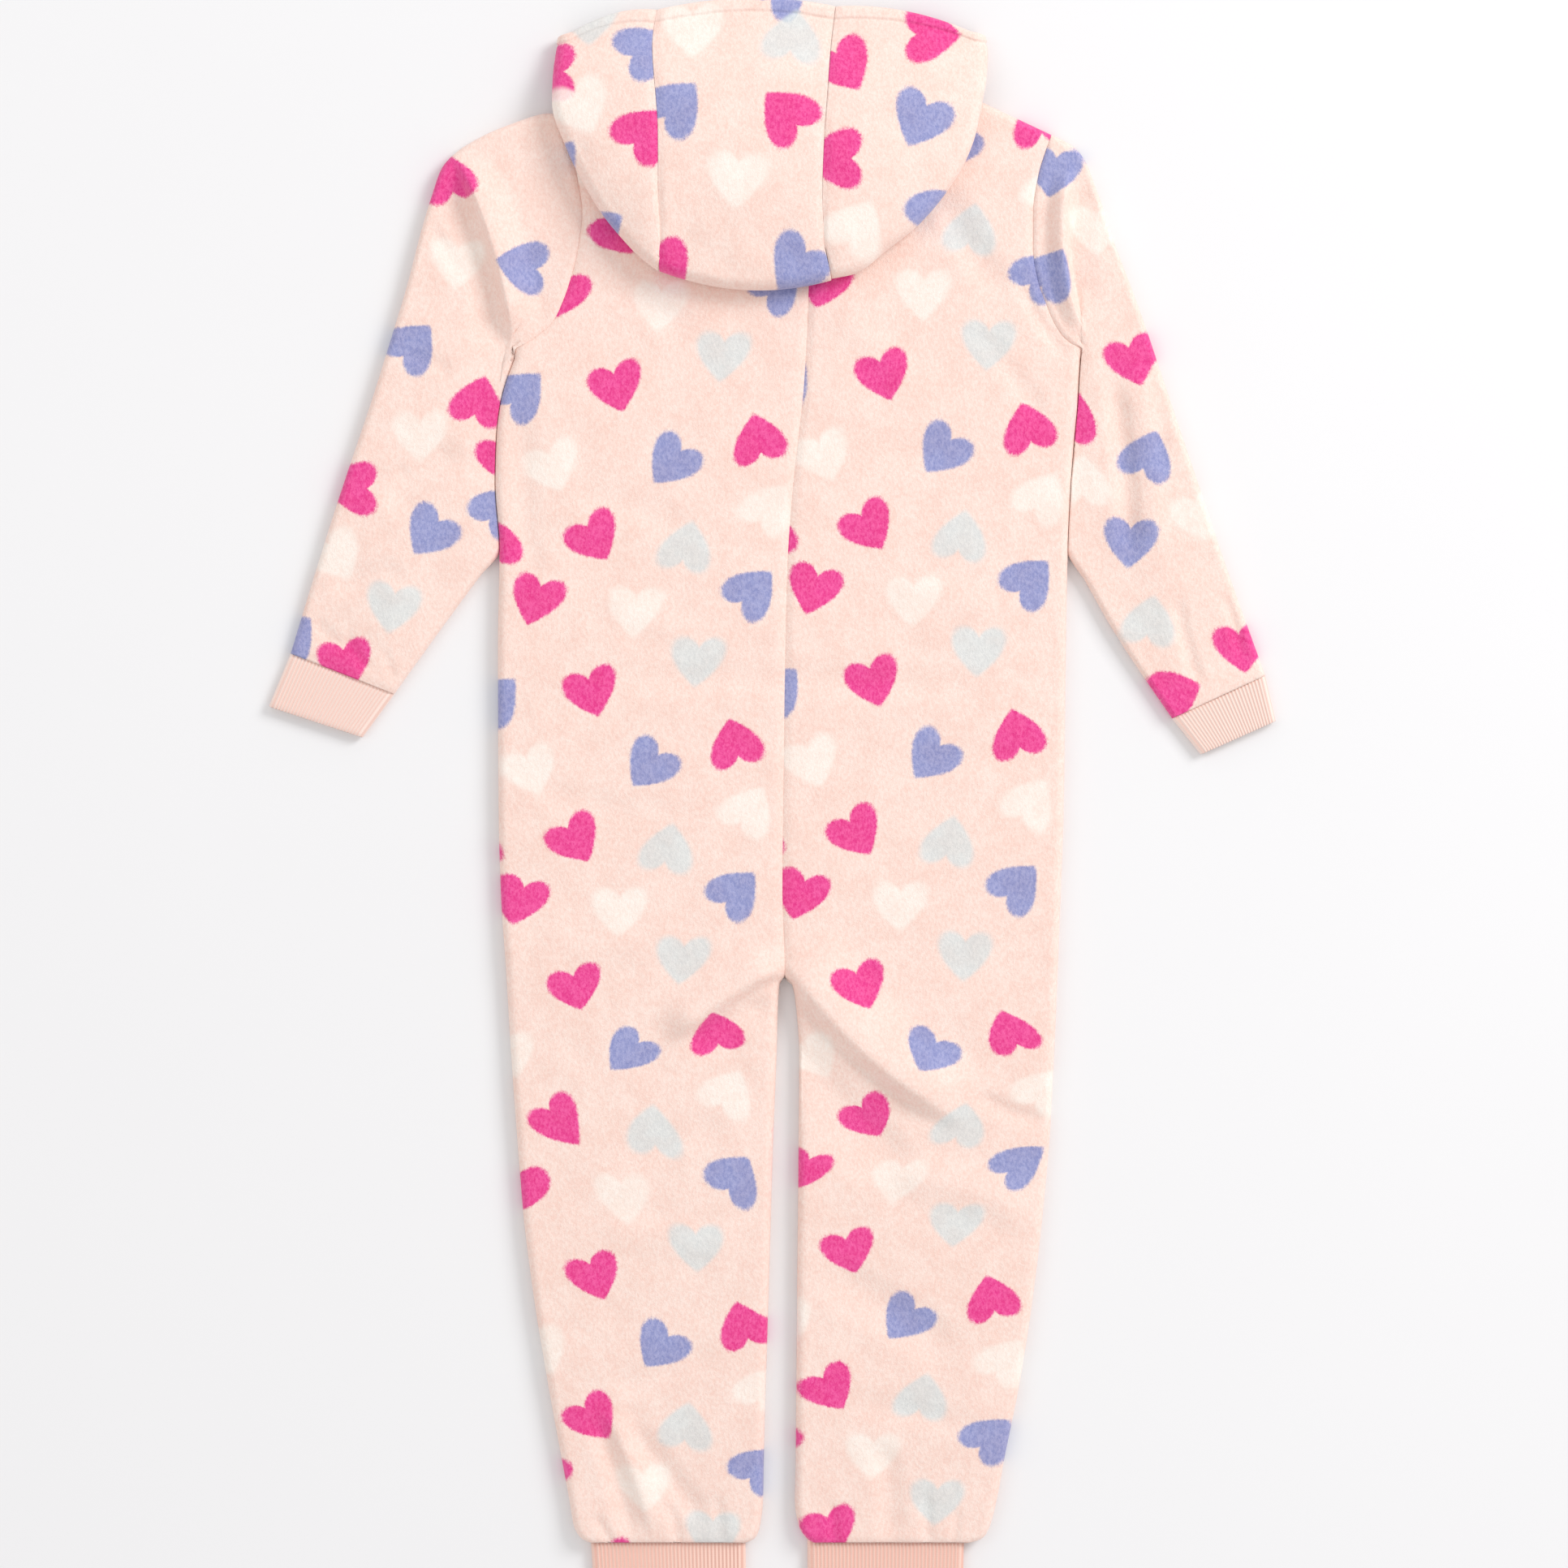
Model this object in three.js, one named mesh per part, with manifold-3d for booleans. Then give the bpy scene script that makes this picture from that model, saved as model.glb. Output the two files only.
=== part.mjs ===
// A child's hooded fleece sleepsuit, laid flat on its front with its back upwards.
// Sizes are in millimetres. While the pieces are made, x runs across from the suit's centre line,
// y runs from the lower edge of the ankle cuffs to the hood, and z is the height above the surface.
// At the end the whole suit is moved so that its origin is the middle of its base.

import * as THREE from "three";
import { mergeVertices } from "three/addons/utils/BufferGeometryUtils.js";
import Module from "manifold-3d";

const wasm = await Module();
wasm.setup();

// Driving sizes
const FLEECE = 4; // thickness of the fleece with its pile
const RIB = 2.5; // thickness of the doubled rib knit of the cuffs
const LOFT = 12; // height of the two fleece layers that lie on each other
const CUFF_LOFT = 7.5; // height of a flattened cuff
const SLEEVE_EDGE_LOFT = 9.2; // height of a sleeve's inner edge and wrist
const SEAM = 0.3; // gap between two pieces at a seam
const SEAM_DIP = 0.35; // share of its height that the cloth loses in a seam's groove
const SEAM_STEPS = [0, 1.2, 3.2, 6]; // distances from a seam of the columns across its groove
const HOOD_DIP = 1.2; // depth of the groove along the hood's seams
const INNER_EDGE = 1.5; // how much wider a sleeve's inner edge rolls than its outer one
const UNDER_LIFT = 0.9; // how far a sleeve's underside curves up from its middle line to its edges
const BESIDE = 1.3; // gap between the body's side and a sleeve that lies along it
const RIB_PITCH = 2.6; // distance from one rib to the next
const RIB_RISE = 0.3; // how far a rib stands above, and its groove below, the cuff
const HOOD_CROWN = 1.6; // how far the middle panel's cloth bulges between its seams
const HOOD_ROLL = 7; // radius of the turned-under edge of the hood
const BACK_TOP = LOFT + 0.5; // level of what lies on the back
const NECK_RISE = 24; // how far a neck point stands above the line from seam to shoulder
const NECKLINE = 1040; // top of the centre back seam
const CROTCH = 432;
const CROTCH_JOIN = [424, 434]; // heights between which the two inseams become one centre seam
const UNDERARM = 855;
const UNDERARM_JOIN = [849, 857]; // heights between which the side's rolled edge becomes a seam
const SEAM_RISE = 3; // how much higher the underarm's row of points meets the centre seam
const NECK_FROM = 900; // height from which the rows rise towards the neck points
const HEM = 47; // where the legs end and the ankle cuffs start

// Outline of the body and legs: x of the left and right edge at each height
const OUTLINE = [
  { y: 45, left: -126, right: 122 },
  { y: 47, left: -131, right: 129 },
  { y: 50, left: -137, right: 137.5 },
  { y: 57, left: -141, right: 141.5 },
  { y: 74, left: -144, right: 146 },
  { y: 101, left: -149, right: 151 },
  { y: 156, left: -159, right: 162 },
  { y: 211, left: -168, right: 170.5 },
  { y: 266, left: -175, right: 177 },
  { y: 321, left: -179.5, right: 182 },
  { y: 376, left: -183.5, right: 185 },
  { y: 434, left: -187, right: 187.5 },
  { y: 486, left: -190.5, right: 189.5 },
  { y: 541, left: -192, right: 191.5 },
  { y: 651, left: -192.5, right: 193 },
  { y: 719, left: -191.5, right: 194.3 },
  { y: 764, left: -194.4, right: 196.4 },
  { y: 796, left: -193.5, right: 199 },
  { y: 817, left: -191, right: 201 },
  { y: 834, left: -186.5, right: 202 },
  { y: 848, left: -181.5, right: 203 },
  { y: 855, left: -180, right: 203.5 },
  { y: 858, left: -173, right: 197 },
  { y: 863, left: -166, right: 191 },
  { y: 873, left: -155, right: 184.5 },
  { y: 886, left: -148.5, right: 179 },
  { y: 900, left: -143.5, right: 174 },
  { y: 922, left: -138, right: 170.5 },
  { y: 946, left: -135, right: 170.5 },
  { y: 972, left: -138.5, right: 174 },
  { y: 1000.5, left: -146.5, right: 183 },
  { y: 1015, left: -149, right: 187 },
];
// Inner edges: the inseams below the crotch and the centre seam above it
const INNER = [
  { y: 45, left: -28, right: 26 },
  { y: 47, left: -23, right: 20 },
  { y: 50, left: -17, right: 16 },
  { y: 57, left: -14.5, right: 11.5 },
  { y: 74, left: -12.5, right: 9 },
  { y: 101, left: -12, right: 9.5 },
  { y: 211, left: -8.8, right: 10.5 },
  { y: 321, left: -5.5, right: 11.6 },
  { y: 376, left: -3.3, right: 12 },
  { y: 412, left: -2.2, right: 9.5 },
  { y: 426, left: -1, right: 6.5 },
  { y: 432, left: 2.2, right: 2.2 },
  { y: 434, left: 2.2, right: 2.2 },
  { y: 486, left: 0.6, right: 0.6 },
  { y: 541, left: 1.1, right: 1.1 },
  { y: 651, left: 2.6, right: 2.6 },
  { y: 706, left: 3.9, right: 3.9 },
  { y: 764, left: 8, right: 8 },
  { y: 834, left: 15.5, right: 15.5 },
  { y: 885, left: 18, right: 18 },
  { y: 1040, left: 22, right: 22 },
];
// Each half: its sign across, the height of the shoulder's end and the neck point across
const HALVES = {
  left: { sign: -1, shoulder: 1015, neck: -70 },
  right: { sign: 1, shoulder: 1000.5, neck: 75 },
};
// Rows of the body's grid: how high each one meets the outline and the centre seam
const BACK_ROWS = [
  47, 50, 56, 66, 84, 106, 130, 158, 186, 212, 238, 262, 286, 308, 330, 350, 370, 390, 408, 426,
  432, 440, 454, 474, 500, 540, 600, 665, 719, 764, 796, 817, 834, 843, 849,
];
const FRONT_ROWS = [
  47, 50, 56, 84, 130, 212, 308, 370, 408, 426,
  432, 440, 454, 474, 600, 719, 764, 796, 817, 834, 843, 849,
];
const ARMHOLE_ROWS = [0, 0.0075, 0.022, 0.05, 0.11, 0.19, 0.28, 0.42, 0.57, 0.73]; // shares of the armhole
const TOP_ROWS = [6, 3.2, 2]; // distances from the top of the shoulder
const HEM_DROP = 0.38; // share of its height that a leg loses at its gathered hem

// Stations of the sleeves from armhole to cuff: outer edge (ox, oy) and inner edge (ix, iy).
// Without an ix, the inner edge lies along the body's side.
const SLEEVES = {
  left: [
    { ox: -149, oy: 1015, ix: -180, iy: 855 },
    { ox: -160, oy: 1015, ix: -186, iy: 852.5 },
    { ox: -186, oy: 1006.5, iy: 842 },
    { ox: -205, oy: 998, iy: 832 },
    { ox: -219, oy: 989.5, iy: 817 },
    { ox: -229, oy: 979, iy: 800 },
    { ox: -236, oy: 960, iy: 780 },
    { ox: -243.5, oy: 935, iy: 758 },
    { ox: -253, oy: 899, iy: 737 },
    { ox: -265, oy: 860, iy: 719 },
    { ox: -279, oy: 816, ix: -206, iy: 699.5 },
    { ox: -295, oy: 769, ix: -225.5, iy: 673 },
    { ox: -313, oy: 714, ix: -243.5, iy: 648 },
    { ox: -333.3, oy: 648.5, ix: -262.9, iy: 621 },
  ],
  right: [
    { ox: 183, oy: 1000.5, ix: 203.5, iy: 855 },
    { ox: 189, oy: 997.5, ix: 209, iy: 852.5 },
    { ox: 198, oy: 991.5, iy: 837 },
    { ox: 205, oy: 981.5, iy: 825 },
    { ox: 211, oy: 967, iy: 810 },
    { ox: 217, oy: 951, iy: 793 },
    { ox: 224.5, oy: 928, iy: 775 },
    { ox: 233, oy: 906, iy: 757 },
    { ox: 242, oy: 882, iy: 738 },
    { ox: 254, oy: 847.5, iy: 719 },
    { ox: 268, oy: 806, ix: 208, iy: 695 },
    { ox: 284.5, oy: 757.5, ix: 225.5, iy: 664 },
    { ox: 303, oy: 703.5, ix: 242.5, iy: 637.5 },
    { ox: 328.4, oy: 633.6, ix: 265.1, iy: 604.5 },
  ],
};
// Cuffs: the corners of their seam and of their free edge
const CUFFS = [
  { name: "wrist_cuff_left", seam: [-333.3, 648.5, -262.9, 621], free: [-348.2, 612.7, -284.4, 591.8] },
  { name: "wrist_cuff_right", seam: [265.1, 604.5, 328.4, 633.6], free: [284.5, 580.3, 335.5, 603] },
  { name: "ankle_cuff_left", seam: [-129.5, 47, -24.5, 47], free: [-126.5, 0, -24, 0] },
  { name: "ankle_cuff_right", seam: [17.5, 47, 124, 47], free: [18, 0, 122.5, 0] },
];

const FOLD_FADE = 0.25; // share of a fold's length over which each end of it fades
const DEEPEST = -3.2; // deepest that folds may press the upper layer towards the lower one
const FREE = 8.2; // level of the upper layer's middle below which nothing is pressed down

// Folds of the upper layer: the two ends of the crest, bowed to its left by bow,
// as wide as left and right say on either side of that direction; a negative rise is a trough
const FOLDS = [
  { name: "left sleeve cap, fold", from: [-224, 986], to: [-181, 852], bow: 7, left: 20, right: 5, rise: 7 },
  { name: "left cap hollow", from: [-226, 975], to: [-192, 848], bow: 7, left: 6, right: 16, rise: -2.5 },
  { name: "right sleeve cap, fold", from: [196, 984], to: [207, 856], bow: -11, left: 5, right: 11, rise: 5 },
  { name: "right cap hollow", from: [207, 975], to: [206, 874], bow: -8, left: 16, right: 6, rise: -2.5 },
  { name: "right seat, ridge", from: [-2, 450], to: [130, 331], bow: -9, left: 34, right: 16, rise: 7 },
  { name: "right seat, hollow", from: [12, 402], to: [102, 298], bow: -3, left: 9, right: 24, rise: -3 },
  { name: "left seat, ridge", from: [8, 440], to: [-72, 386], bow: -3, left: 7, right: 22, rise: 5 },
  { name: "left seat, hollow", from: [-4, 416], to: [-60, 380], bow: -3, left: 14, right: 7, rise: -2.5 },
  { name: "left ankle, crease", from: [-130, 138], to: [-100, 42], bow: 3, left: 9, right: 12, rise: -3.2 },
  { name: "left ankle, ridge", from: [-118, 140], to: [-84, 44], bow: 2, left: 14, right: 8, rise: 3.4 },
  { name: "left ankle, slant", from: [-106, 128], to: [-46, 52], bow: 0, left: 14, right: 12, rise: -2.6 },
  { name: "right knee, slant", from: [22, 232], to: [124, 168], bow: 4, left: 20, right: 26, rise: -2.6 },
  { name: "right knee, ridge", from: [60, 300], to: [178, 262], bow: 6, left: 22, right: 22, rise: 2.6 },
  { name: "right thigh, crease", from: [128, 352], to: [184, 330], bow: -3, left: 9, right: 12, rise: -2 },
  { name: "right ankle, hollow", from: [66, 120], to: [74, 42], bow: 3, left: 14, right: 14, rise: -2.4 },
  { name: "shoulder hollow", from: [108, 968], to: [152, 886], bow: -4, left: 18, right: 16, rise: -2.4 },
  { name: "right underarm, crease", from: [160, 902], to: [196, 848], bow: -3, left: 8, right: 9, rise: -2 },
  { name: "right elbow, hollow", from: [222, 846], to: [236, 702], bow: 3, left: 11, right: 12, rise: -3.6 },
  { name: "right elbow, ridge", from: [240, 852], to: [254, 706], bow: 2, left: 13, right: 13, rise: 2.2 },
  { name: "right wrist, crease", from: [268, 690], to: [286, 622], bow: -3, left: 8, right: 8, rise: -2 },
  { name: "left elbow, hollow", from: [-268, 742], to: [-214, 790], bow: 5, left: 16, right: 20, rise: -2.4 },
  { name: "left forearm, hollow", from: [-308, 690], to: [-252, 704], bow: 3, left: 14, right: 14, rise: -2 },
  { name: "waist, soft crease", from: [-150, 628], to: [150, 624], bow: 5, left: 16, right: 16, rise: -1.2 },
  { name: "left flank hollow", from: [-176, 820], to: [-168, 690], bow: -3, left: 14, right: 12, rise: -1.8 },
];

// The hood: seams of its middle panel, its edge on either side, and its levels
const GUSSET = [
  { y: 900, left: -82, right: 34 },
  { y: 925, left: -83, right: 29 },
  { y: 960, left: -83, right: 27.5 },
  { y: 1000, left: -83.2, right: 29 },
  { y: 1020, left: -84.5, right: 30.5 },
  { y: 1060, left: -87.5, right: 33.5 },
  { y: 1094, left: -83, right: 37.5 },
];
const HOOD_SIDES = {
  left: {
    mouth: 1084.6,
    bow: 5,
    edge: [
      [-150, 1067], [-153, 1055], [-154.8, 1036], [-155, 1020], [-145.5, 989.5], [-135, 967.5],
      [-123, 947], [-106, 926], [-94, 914], [-82, 905.5],
    ],
  },
  right: {
    mouth: 1087,
    bow: 5.5,
    edge: [
      [136.5, 1068], [140, 1056], [138.6, 1036], [135.5, 1020], [131.5, 1000], [124.5, 981],
      [111, 959], [92, 937], [72, 921], [50, 904.5], [34, 901],
    ],
  },
};
const CROWN = { deepest: 893, middle: -15, curve: 0.0029 }; // lower edge of the middle panel
const MOUTH_PEAK = 6.5; // how far the middle of the mouth's edge stands above its seams
const CORNER = { left: 930, right: 926 }; // where a side panel's seam row turns along the crown
// Rows of the hood: distance from the mouth along the seam and along the edge, and the wall's
// thickness above and below its middle, which is doubled in the hem of the mouth
const HOOD_ROWS = [
  { seam: 0, edge: 0, above: 0.7, below: 0.7 },
  { seam: 1.2, edge: 1.2, above: 2.3, below: 2.6 },
  { seam: 4, edge: 3, above: 3.2, below: 3.6 },
  { seam: 8, edge: 6, above: 3, below: 3.6 },
  { seam: 10, edge: 7.6, above: 1.4, below: 3 },
  { seam: 12, edge: 9.4, above: 2, below: 2 },
  { seam: 24, edge: 22, above: 2, below: 2 },
  { seam: 42, edge: 42, above: 2, below: 2 },
  { seam: 62, edge: 64, above: 2, below: 2 },
  { seam: 84, edge: 90, above: 2, below: 2 },
  { seam: 106, edge: 118, above: 2, below: 2 },
  { seam: 126, edge: 148, above: 2, below: 2 },
  { seam: 142, edge: 178, above: 2, below: 2 },
  { seam: 1000, edge: 1000, above: 2, below: 2 },
];
// Level of the hood's cloth at the middle panel and at its edge, and of its turned-under edge
const HOOD_LEVELS = [
  { y: 893, middle: 26, edge: 26, under: BACK_TOP + 2 },
  { y: 912, middle: 30, edge: 27, under: BACK_TOP + 2 },
  { y: 940, middle: 34, edge: 27.5, under: BACK_TOP + 2 },
  { y: 980, middle: 35.5, edge: 27, under: BACK_TOP + 2 },
  { y: 1015, middle: 32, edge: 25, under: BACK_TOP + 2 },
  { y: 1028, middle: 29.5, edge: 23, under: BACK_TOP + 1.5 },
  { y: 1046, middle: 23.5, edge: 18, under: 6 },
  { y: 1058, middle: 18, edge: 13.5, under: 2.6 },
  { y: 1070, middle: 13, edge: 11, under: 2.4 },
  { y: 1094, middle: 8, edge: 8, under: 2.4 },
];
// Front of the hood, below: the neck hole, and corners from its rim out to the shoulder and back
const NECK = { across: 72, deep: 64, level: 1050 };
const HOOD_FRONT = {
  left: [
    [-70.8, 1044.5], [-71.4, 1050], [-74, 1053], [-100, 1040], [-145, 1020.5], [-148, 1040],
    [-147, 1061], [-100, 1068], [-56, 1054], [-40, 1024], [-20, 1001], [-2, 991],
  ],
  right: [
    [70.8, 1044.5], [71.4, 1050], [77, 1054], [95, 1045], [133, 1028.5], [137, 1040],
    [136, 1061], [96, 1068], [56, 1054], [40, 1024], [20, 1001], [2, 991],
  ],
};
const HOOD_TURN = [30, 60, 90, 120, 150]; // angles of the rows that roll the hood's edge under
// Hidden layers: how far inside the hood's edge, where their underside steps up, and their rows
const HOOD_CORE = {
  inset: 13,
  shift: 8,
  clear: 3.2,
  step: 1053,
  rows: [1066, 1053.6, 1052.4, 1040, 1020, 1000, 980, 960, 940, 926, 916],
};

// The zip of the front, which is underneath
const ZIP = {
  top: 981,
  bottom: 470,
  slot: 4.6,
  tape: 24,
  tapeLevel: 4.3,
  tapeThick: 0.8,
  coil: 4,
  coilLow: 3.3,
  coilHigh: 5.9,
};
const SLIDER = { wide: 8, long: 12, outer: 2.2, inner: 7.1, plate: 0.8, post: 4.4 };
const BAIL = { wide: 1.4, low: 0.2, thick: 0.5, hole: 2.2 };
const PULL = { wide: 5, long: 18, thick: 0.8, level: 1.45, bar: 0.8, eye: { wide: 2.4, long: 4.2 } };

const COLOURS = { fleece: 0xf6d6c9, rib: 0xf2c9ba, zip: 0xf3ccc0, metal: 0xc9c9cc };

const UP = new THREE.Vector3(0, 0, 1);
const ALONG = new THREE.Vector3(0, 1, 0);
const ACROSS = new THREE.Vector3(1, 0, 0);

// Small functions

function clamp(value, low, high) {
  return Math.min(high, Math.max(low, value));
}

function mix(a, b, share) {
  return a + (b - a) * share;
}

function smooth(share) {
  const t = clamp(share, 0, 1);
  return t * t * (3 - 2 * t);
}

// Soft step from 0 to 1 over a range
function stepOver(value, [low, high]) {
  return smooth((value - low) / (high - low));
}

// Height of a bow of 1 at a share of its length
function bulge(share) {
  return 4 * share * (1 - share);
}

// A column of a table at any value of its key, on a cubic that never overshoots its rows
function lookup(table, key, column, at) {
  const last = table.length - 1;
  const value = clamp(at, table[0][key], table[last][key]);
  let i = 0;
  while (i < last - 1 && value > table[i + 1][key]) i += 1;
  const span = (k) => table[k + 1][key] - table[k][key];
  const slope = (k) => (table[k + 1][column] - table[k][column]) / span(k);
  const tangent = (k) => {
    if (k === 0) return slope(0);
    if (k === last) return slope(last - 1);
    const [before, after] = [slope(k - 1), slope(k)];
    return before * after <= 0 ? 0 : (2 * before * after) / (before + after);
  };
  const t = (value - table[i][key]) / span(i);
  const [a, b] = [table[i][column], table[i + 1][column]];
  const [ta, tb] = [tangent(i) * span(i), tangent(i + 1) * span(i)];
  return a + t * (ta + t * (3 * (b - a) - 2 * ta - tb + t * (2 * (a - b) + ta + tb)));
}

// The point at a distance along a line of points, with its corners rounded
function trace(points, distance) {
  const rows = [];
  let along = 0;
  points.forEach(([x, y], i) => {
    if (i) along += Math.hypot(x - points[i - 1][0], y - points[i - 1][1]);
    rows.push({ along, x, y });
  });
  const at = Math.min(distance, along);
  return [lookup(rows, "along", "x", at), lookup(rows, "along", "y", at)];
}

// Height that the folds add at a point of the upper layer
function drape(x, y) {
  let rise = 0;
  for (const f of FOLDS) {
    const [dx, dy] = [f.to[0] - f.from[0], f.to[1] - f.from[1]];
    const length = Math.hypot(dx, dy);
    const [ux, uy] = [dx / length, dy / length];
    const share = ((x - f.from[0]) * ux + (y - f.from[1]) * uy) / length;
    if (share <= 0 || share >= 1) continue;
    const off = (y - f.from[1]) * ux - (x - f.from[0]) * uy - f.bow * bulge(share);
    const near = 1 - Math.abs(off) / (off > 0 ? f.left : f.right);
    const ends = smooth(share / FOLD_FADE) * smooth((1 - share) / FOLD_FADE);
    rise += f.rise * smooth(near) * ends;
  }
  return rise;
}

// Distances from an edge of the columns that roll over it
function rollSteps(radius) {
  return [0, 30, 60, 90].map((degrees) => radius * (1 - Math.cos(THREE.MathUtils.degToRad(degrees))));
}

// Share of its full height that cloth has at a distance from its rolled edge
function rollShare(distance, radius) {
  const t = clamp(distance / radius, 0, 1);
  return Math.sqrt(1 - (1 - t) * (1 - t));
}

// A closed wall from two grids of points, outside and inside, whose last row may join its first
function wall(outside, inside, closed = false) {
  const [rows, columns] = [outside.length, outside[0].length];
  const positions = [...outside, ...inside].flat(2);
  const index = [];
  const at = (side, r, c) => side * rows * columns + (r % rows) * columns + c;
  const quad = (a, b, c, d) => index.push(a, b, c, a, c, d);
  for (let r = 0; r < (closed ? rows : rows - 1); r += 1) {
    for (let c = 0; c < columns - 1; c += 1) {
      quad(at(0, r, c), at(0, r + 1, c), at(0, r + 1, c + 1), at(0, r, c + 1));
      quad(at(1, r, c), at(1, r, c + 1), at(1, r + 1, c + 1), at(1, r + 1, c));
    }
    quad(at(0, r, 0), at(1, r, 0), at(1, r + 1, 0), at(0, r + 1, 0));
    quad(at(0, r, columns - 1), at(0, r + 1, columns - 1), at(1, r + 1, columns - 1), at(1, r, columns - 1));
  }
  if (!closed) {
    for (let c = 0; c < columns - 1; c += 1) {
      quad(at(0, 0, c), at(0, 0, c + 1), at(1, 0, c + 1), at(1, 0, c));
      quad(at(0, rows - 1, c), at(1, rows - 1, c), at(1, rows - 1, c + 1), at(0, rows - 1, c + 1));
    }
  }
  const geometry = new THREE.BufferGeometry();
  geometry.setAttribute("position", new THREE.Float32BufferAttribute(positions, 3));
  geometry.setIndex(index);
  return facingOut(geometry);
}

// The same geometry with its faces turned outwards, judged by the sign of its volume
function facingOut(geometry) {
  const [position, index] = [geometry.attributes.position, geometry.index];
  const corner = (k) => new THREE.Vector3().fromBufferAttribute(position, index.getX(k));
  let volume = 0;
  for (let k = 0; k < index.count; k += 3) {
    volume += corner(k).dot(corner(k + 1).cross(corner(k + 2)));
  }
  if (volume < 0) {
    for (let k = 0; k < index.count; k += 3) {
      const [b, c] = [index.getX(k + 1), index.getX(k + 2)];
      index.setX(k + 1, c);
      index.setX(k + 2, b);
    }
  }
  geometry.computeVertexNormals();
  return geometry;
}

// Unit normal of a grid surface at one of its points, from its neighbours
function normalAt(grid, r, c, closed = false) {
  const rows = grid.length;
  const before = closed ? (r + rows - 1) % rows : Math.max(r - 1, 0);
  const after = closed ? (r + 1) % rows : Math.min(r + 1, rows - 1);
  const along = new THREE.Vector3(...grid[after][c]).sub(new THREE.Vector3(...grid[before][c]));
  const left = new THREE.Vector3(...grid[r][Math.max(c - 1, 0)]);
  const right = new THREE.Vector3(...grid[r][Math.min(c + 1, grid[r].length - 1)]);
  return along.cross(right.sub(left)).normalize();
}

// Both faces of a wall around its middle surface, moved up afterwards by what shift says.
// At an edge, ends gives the direction that the wall's end face is square to.
function thicken(middle, above, below, shift, ends, closed = false) {
  const normals = middle.map((row, r) => row.map((_, c) => {
    const n = normalAt(middle, r, c, closed);
    for (const end of ends(r, c)) n.addScaledVector(end, -n.dot(end));
    const beside = Math.min(c + 1, row.length - 1);
    if (n.length() < 0.3) n.set(0, 0, Math.sign(normalAt(middle, r, beside, closed).z));
    return n.normalize();
  }));
  const face = (offset) => middle.map((row, r) => row.map((point, c) => {
    const n = normals[r][c];
    const t = offset(r, c);
    return [point[0] + n.x * t, point[1] + n.y * t, point[2] + n.z * t + shift(point, r, c)];
  }));
  return [face(above), face((r, c) => -below(r, c))];
}

// Horizontal direction square to a line between two points
function squareTo([x0, y0], [x1, y1]) {
  return new THREE.Vector3(y1 - y0, x0 - x1, 0).normalize();
}

// Body and legs

// Rows of a body panel: how high each one meets the outline and the centre seam
function bodyRows(levels, half) {
  const { shoulder } = HALVES[half];
  const sides = levels.map((y) => ({ outer: y, inner: y }));
  const armhole = ARMHOLE_ROWS.map((share) => ({
    outer: mix(UNDERARM, shoulder, share),
    inner: mix(UNDERARM + SEAM_RISE, NECKLINE, share),
  }));
  const top = TOP_ROWS.map((d) => ({ outer: shoulder - d, inner: NECKLINE - d }));
  return [...sides, ...armhole, ...top];
}

// Middle surface of one half of the body's upper layer (face 1) or lower layer (face -1)
function bodyPanel(half, face, levels, flatColumns) {
  const { sign, shoulder, neck } = HALVES[half];
  const radius = (LOFT - FLEECE) / 2;
  const centre = LOFT / 2;
  const shares = Array.from({ length: flatColumns }, (_, k) => (k + 1) / (flatColumns + 1));
  return bodyRows(levels, half).map((row) => {
    const seam = stepOver(row.outer, UNDERARM_JOIN);
    const joined = stepOver(row.inner, CROTCH_JOIN);
    const zipped = face < 0 && row.inner > ZIP.bottom - 4;
    const outerX = lookup(OUTLINE, "y", half, row.outer) - sign * mix(FLEECE / 2, 0, seam);
    const inset = zipped ? ZIP.slot : mix(FLEECE / 2, face < 0 ? SEAM : SEAM / 2, joined);
    const innerX = lookup(INNER, "y", half, row.inner) * (face < 0 ? 1 - joined : 1) + sign * inset;
    const width = Math.abs(outerX - innerX);
    const flatFront = face < 0 && row.inner > CROTCH;
    const outerSteps = rollSteps(radius).map((step, k) => mix(step, SEAM_STEPS[k], seam));
    const innerSteps = rollSteps(radius).map((step, k) => mix(step, SEAM_STEPS[k], joined));
    const [from, to] = [outerSteps.at(-1), width - innerSteps.at(-1)];
    const flat = shares.map((s) => mix(from, to, s));
    const distances = [...outerSteps, ...flat, ...innerSteps.map((s) => width - s).reverse()];
    const edgeHeight = (distance, share) => {
      const groove = 1 - SEAM_DIP * (1 - smooth(distance / SEAM_STEPS.at(-1)));
      return mix(rollShare(distance, radius), groove, share);
    };
    const hemDrop = HEM_DROP * (1 - rollShare(row.outer - HEM, radius));
    const topShare = rollShare(shoulder - FLEECE / 2 - row.outer, radius);
    const neckShare = (neck - innerX) / (outerX - innerX);
    const fade = stepOver(row.inner, [NECK_FROM, NECKLINE]);
    return distances.map((distance) => {
      const s = 1 - distance / width;
      const bump = NECK_RISE * (s < neckShare ? smooth(s / neckShare) : (1 - s) / (1 - neckShare)) * fade;
      const ends = edgeHeight(distance, seam) * (flatFront ? 1 : edgeHeight(width - distance, joined));
      const height = ends * topShare * (1 - hemDrop);
      const x = outerX - sign * distance;
      const y = mix(row.outer, row.inner, distance / width) + bump;
      return [x, y, centre + face * (radius * height + SEAM / 2 * (1 - height))];
    });
  });
}

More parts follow.
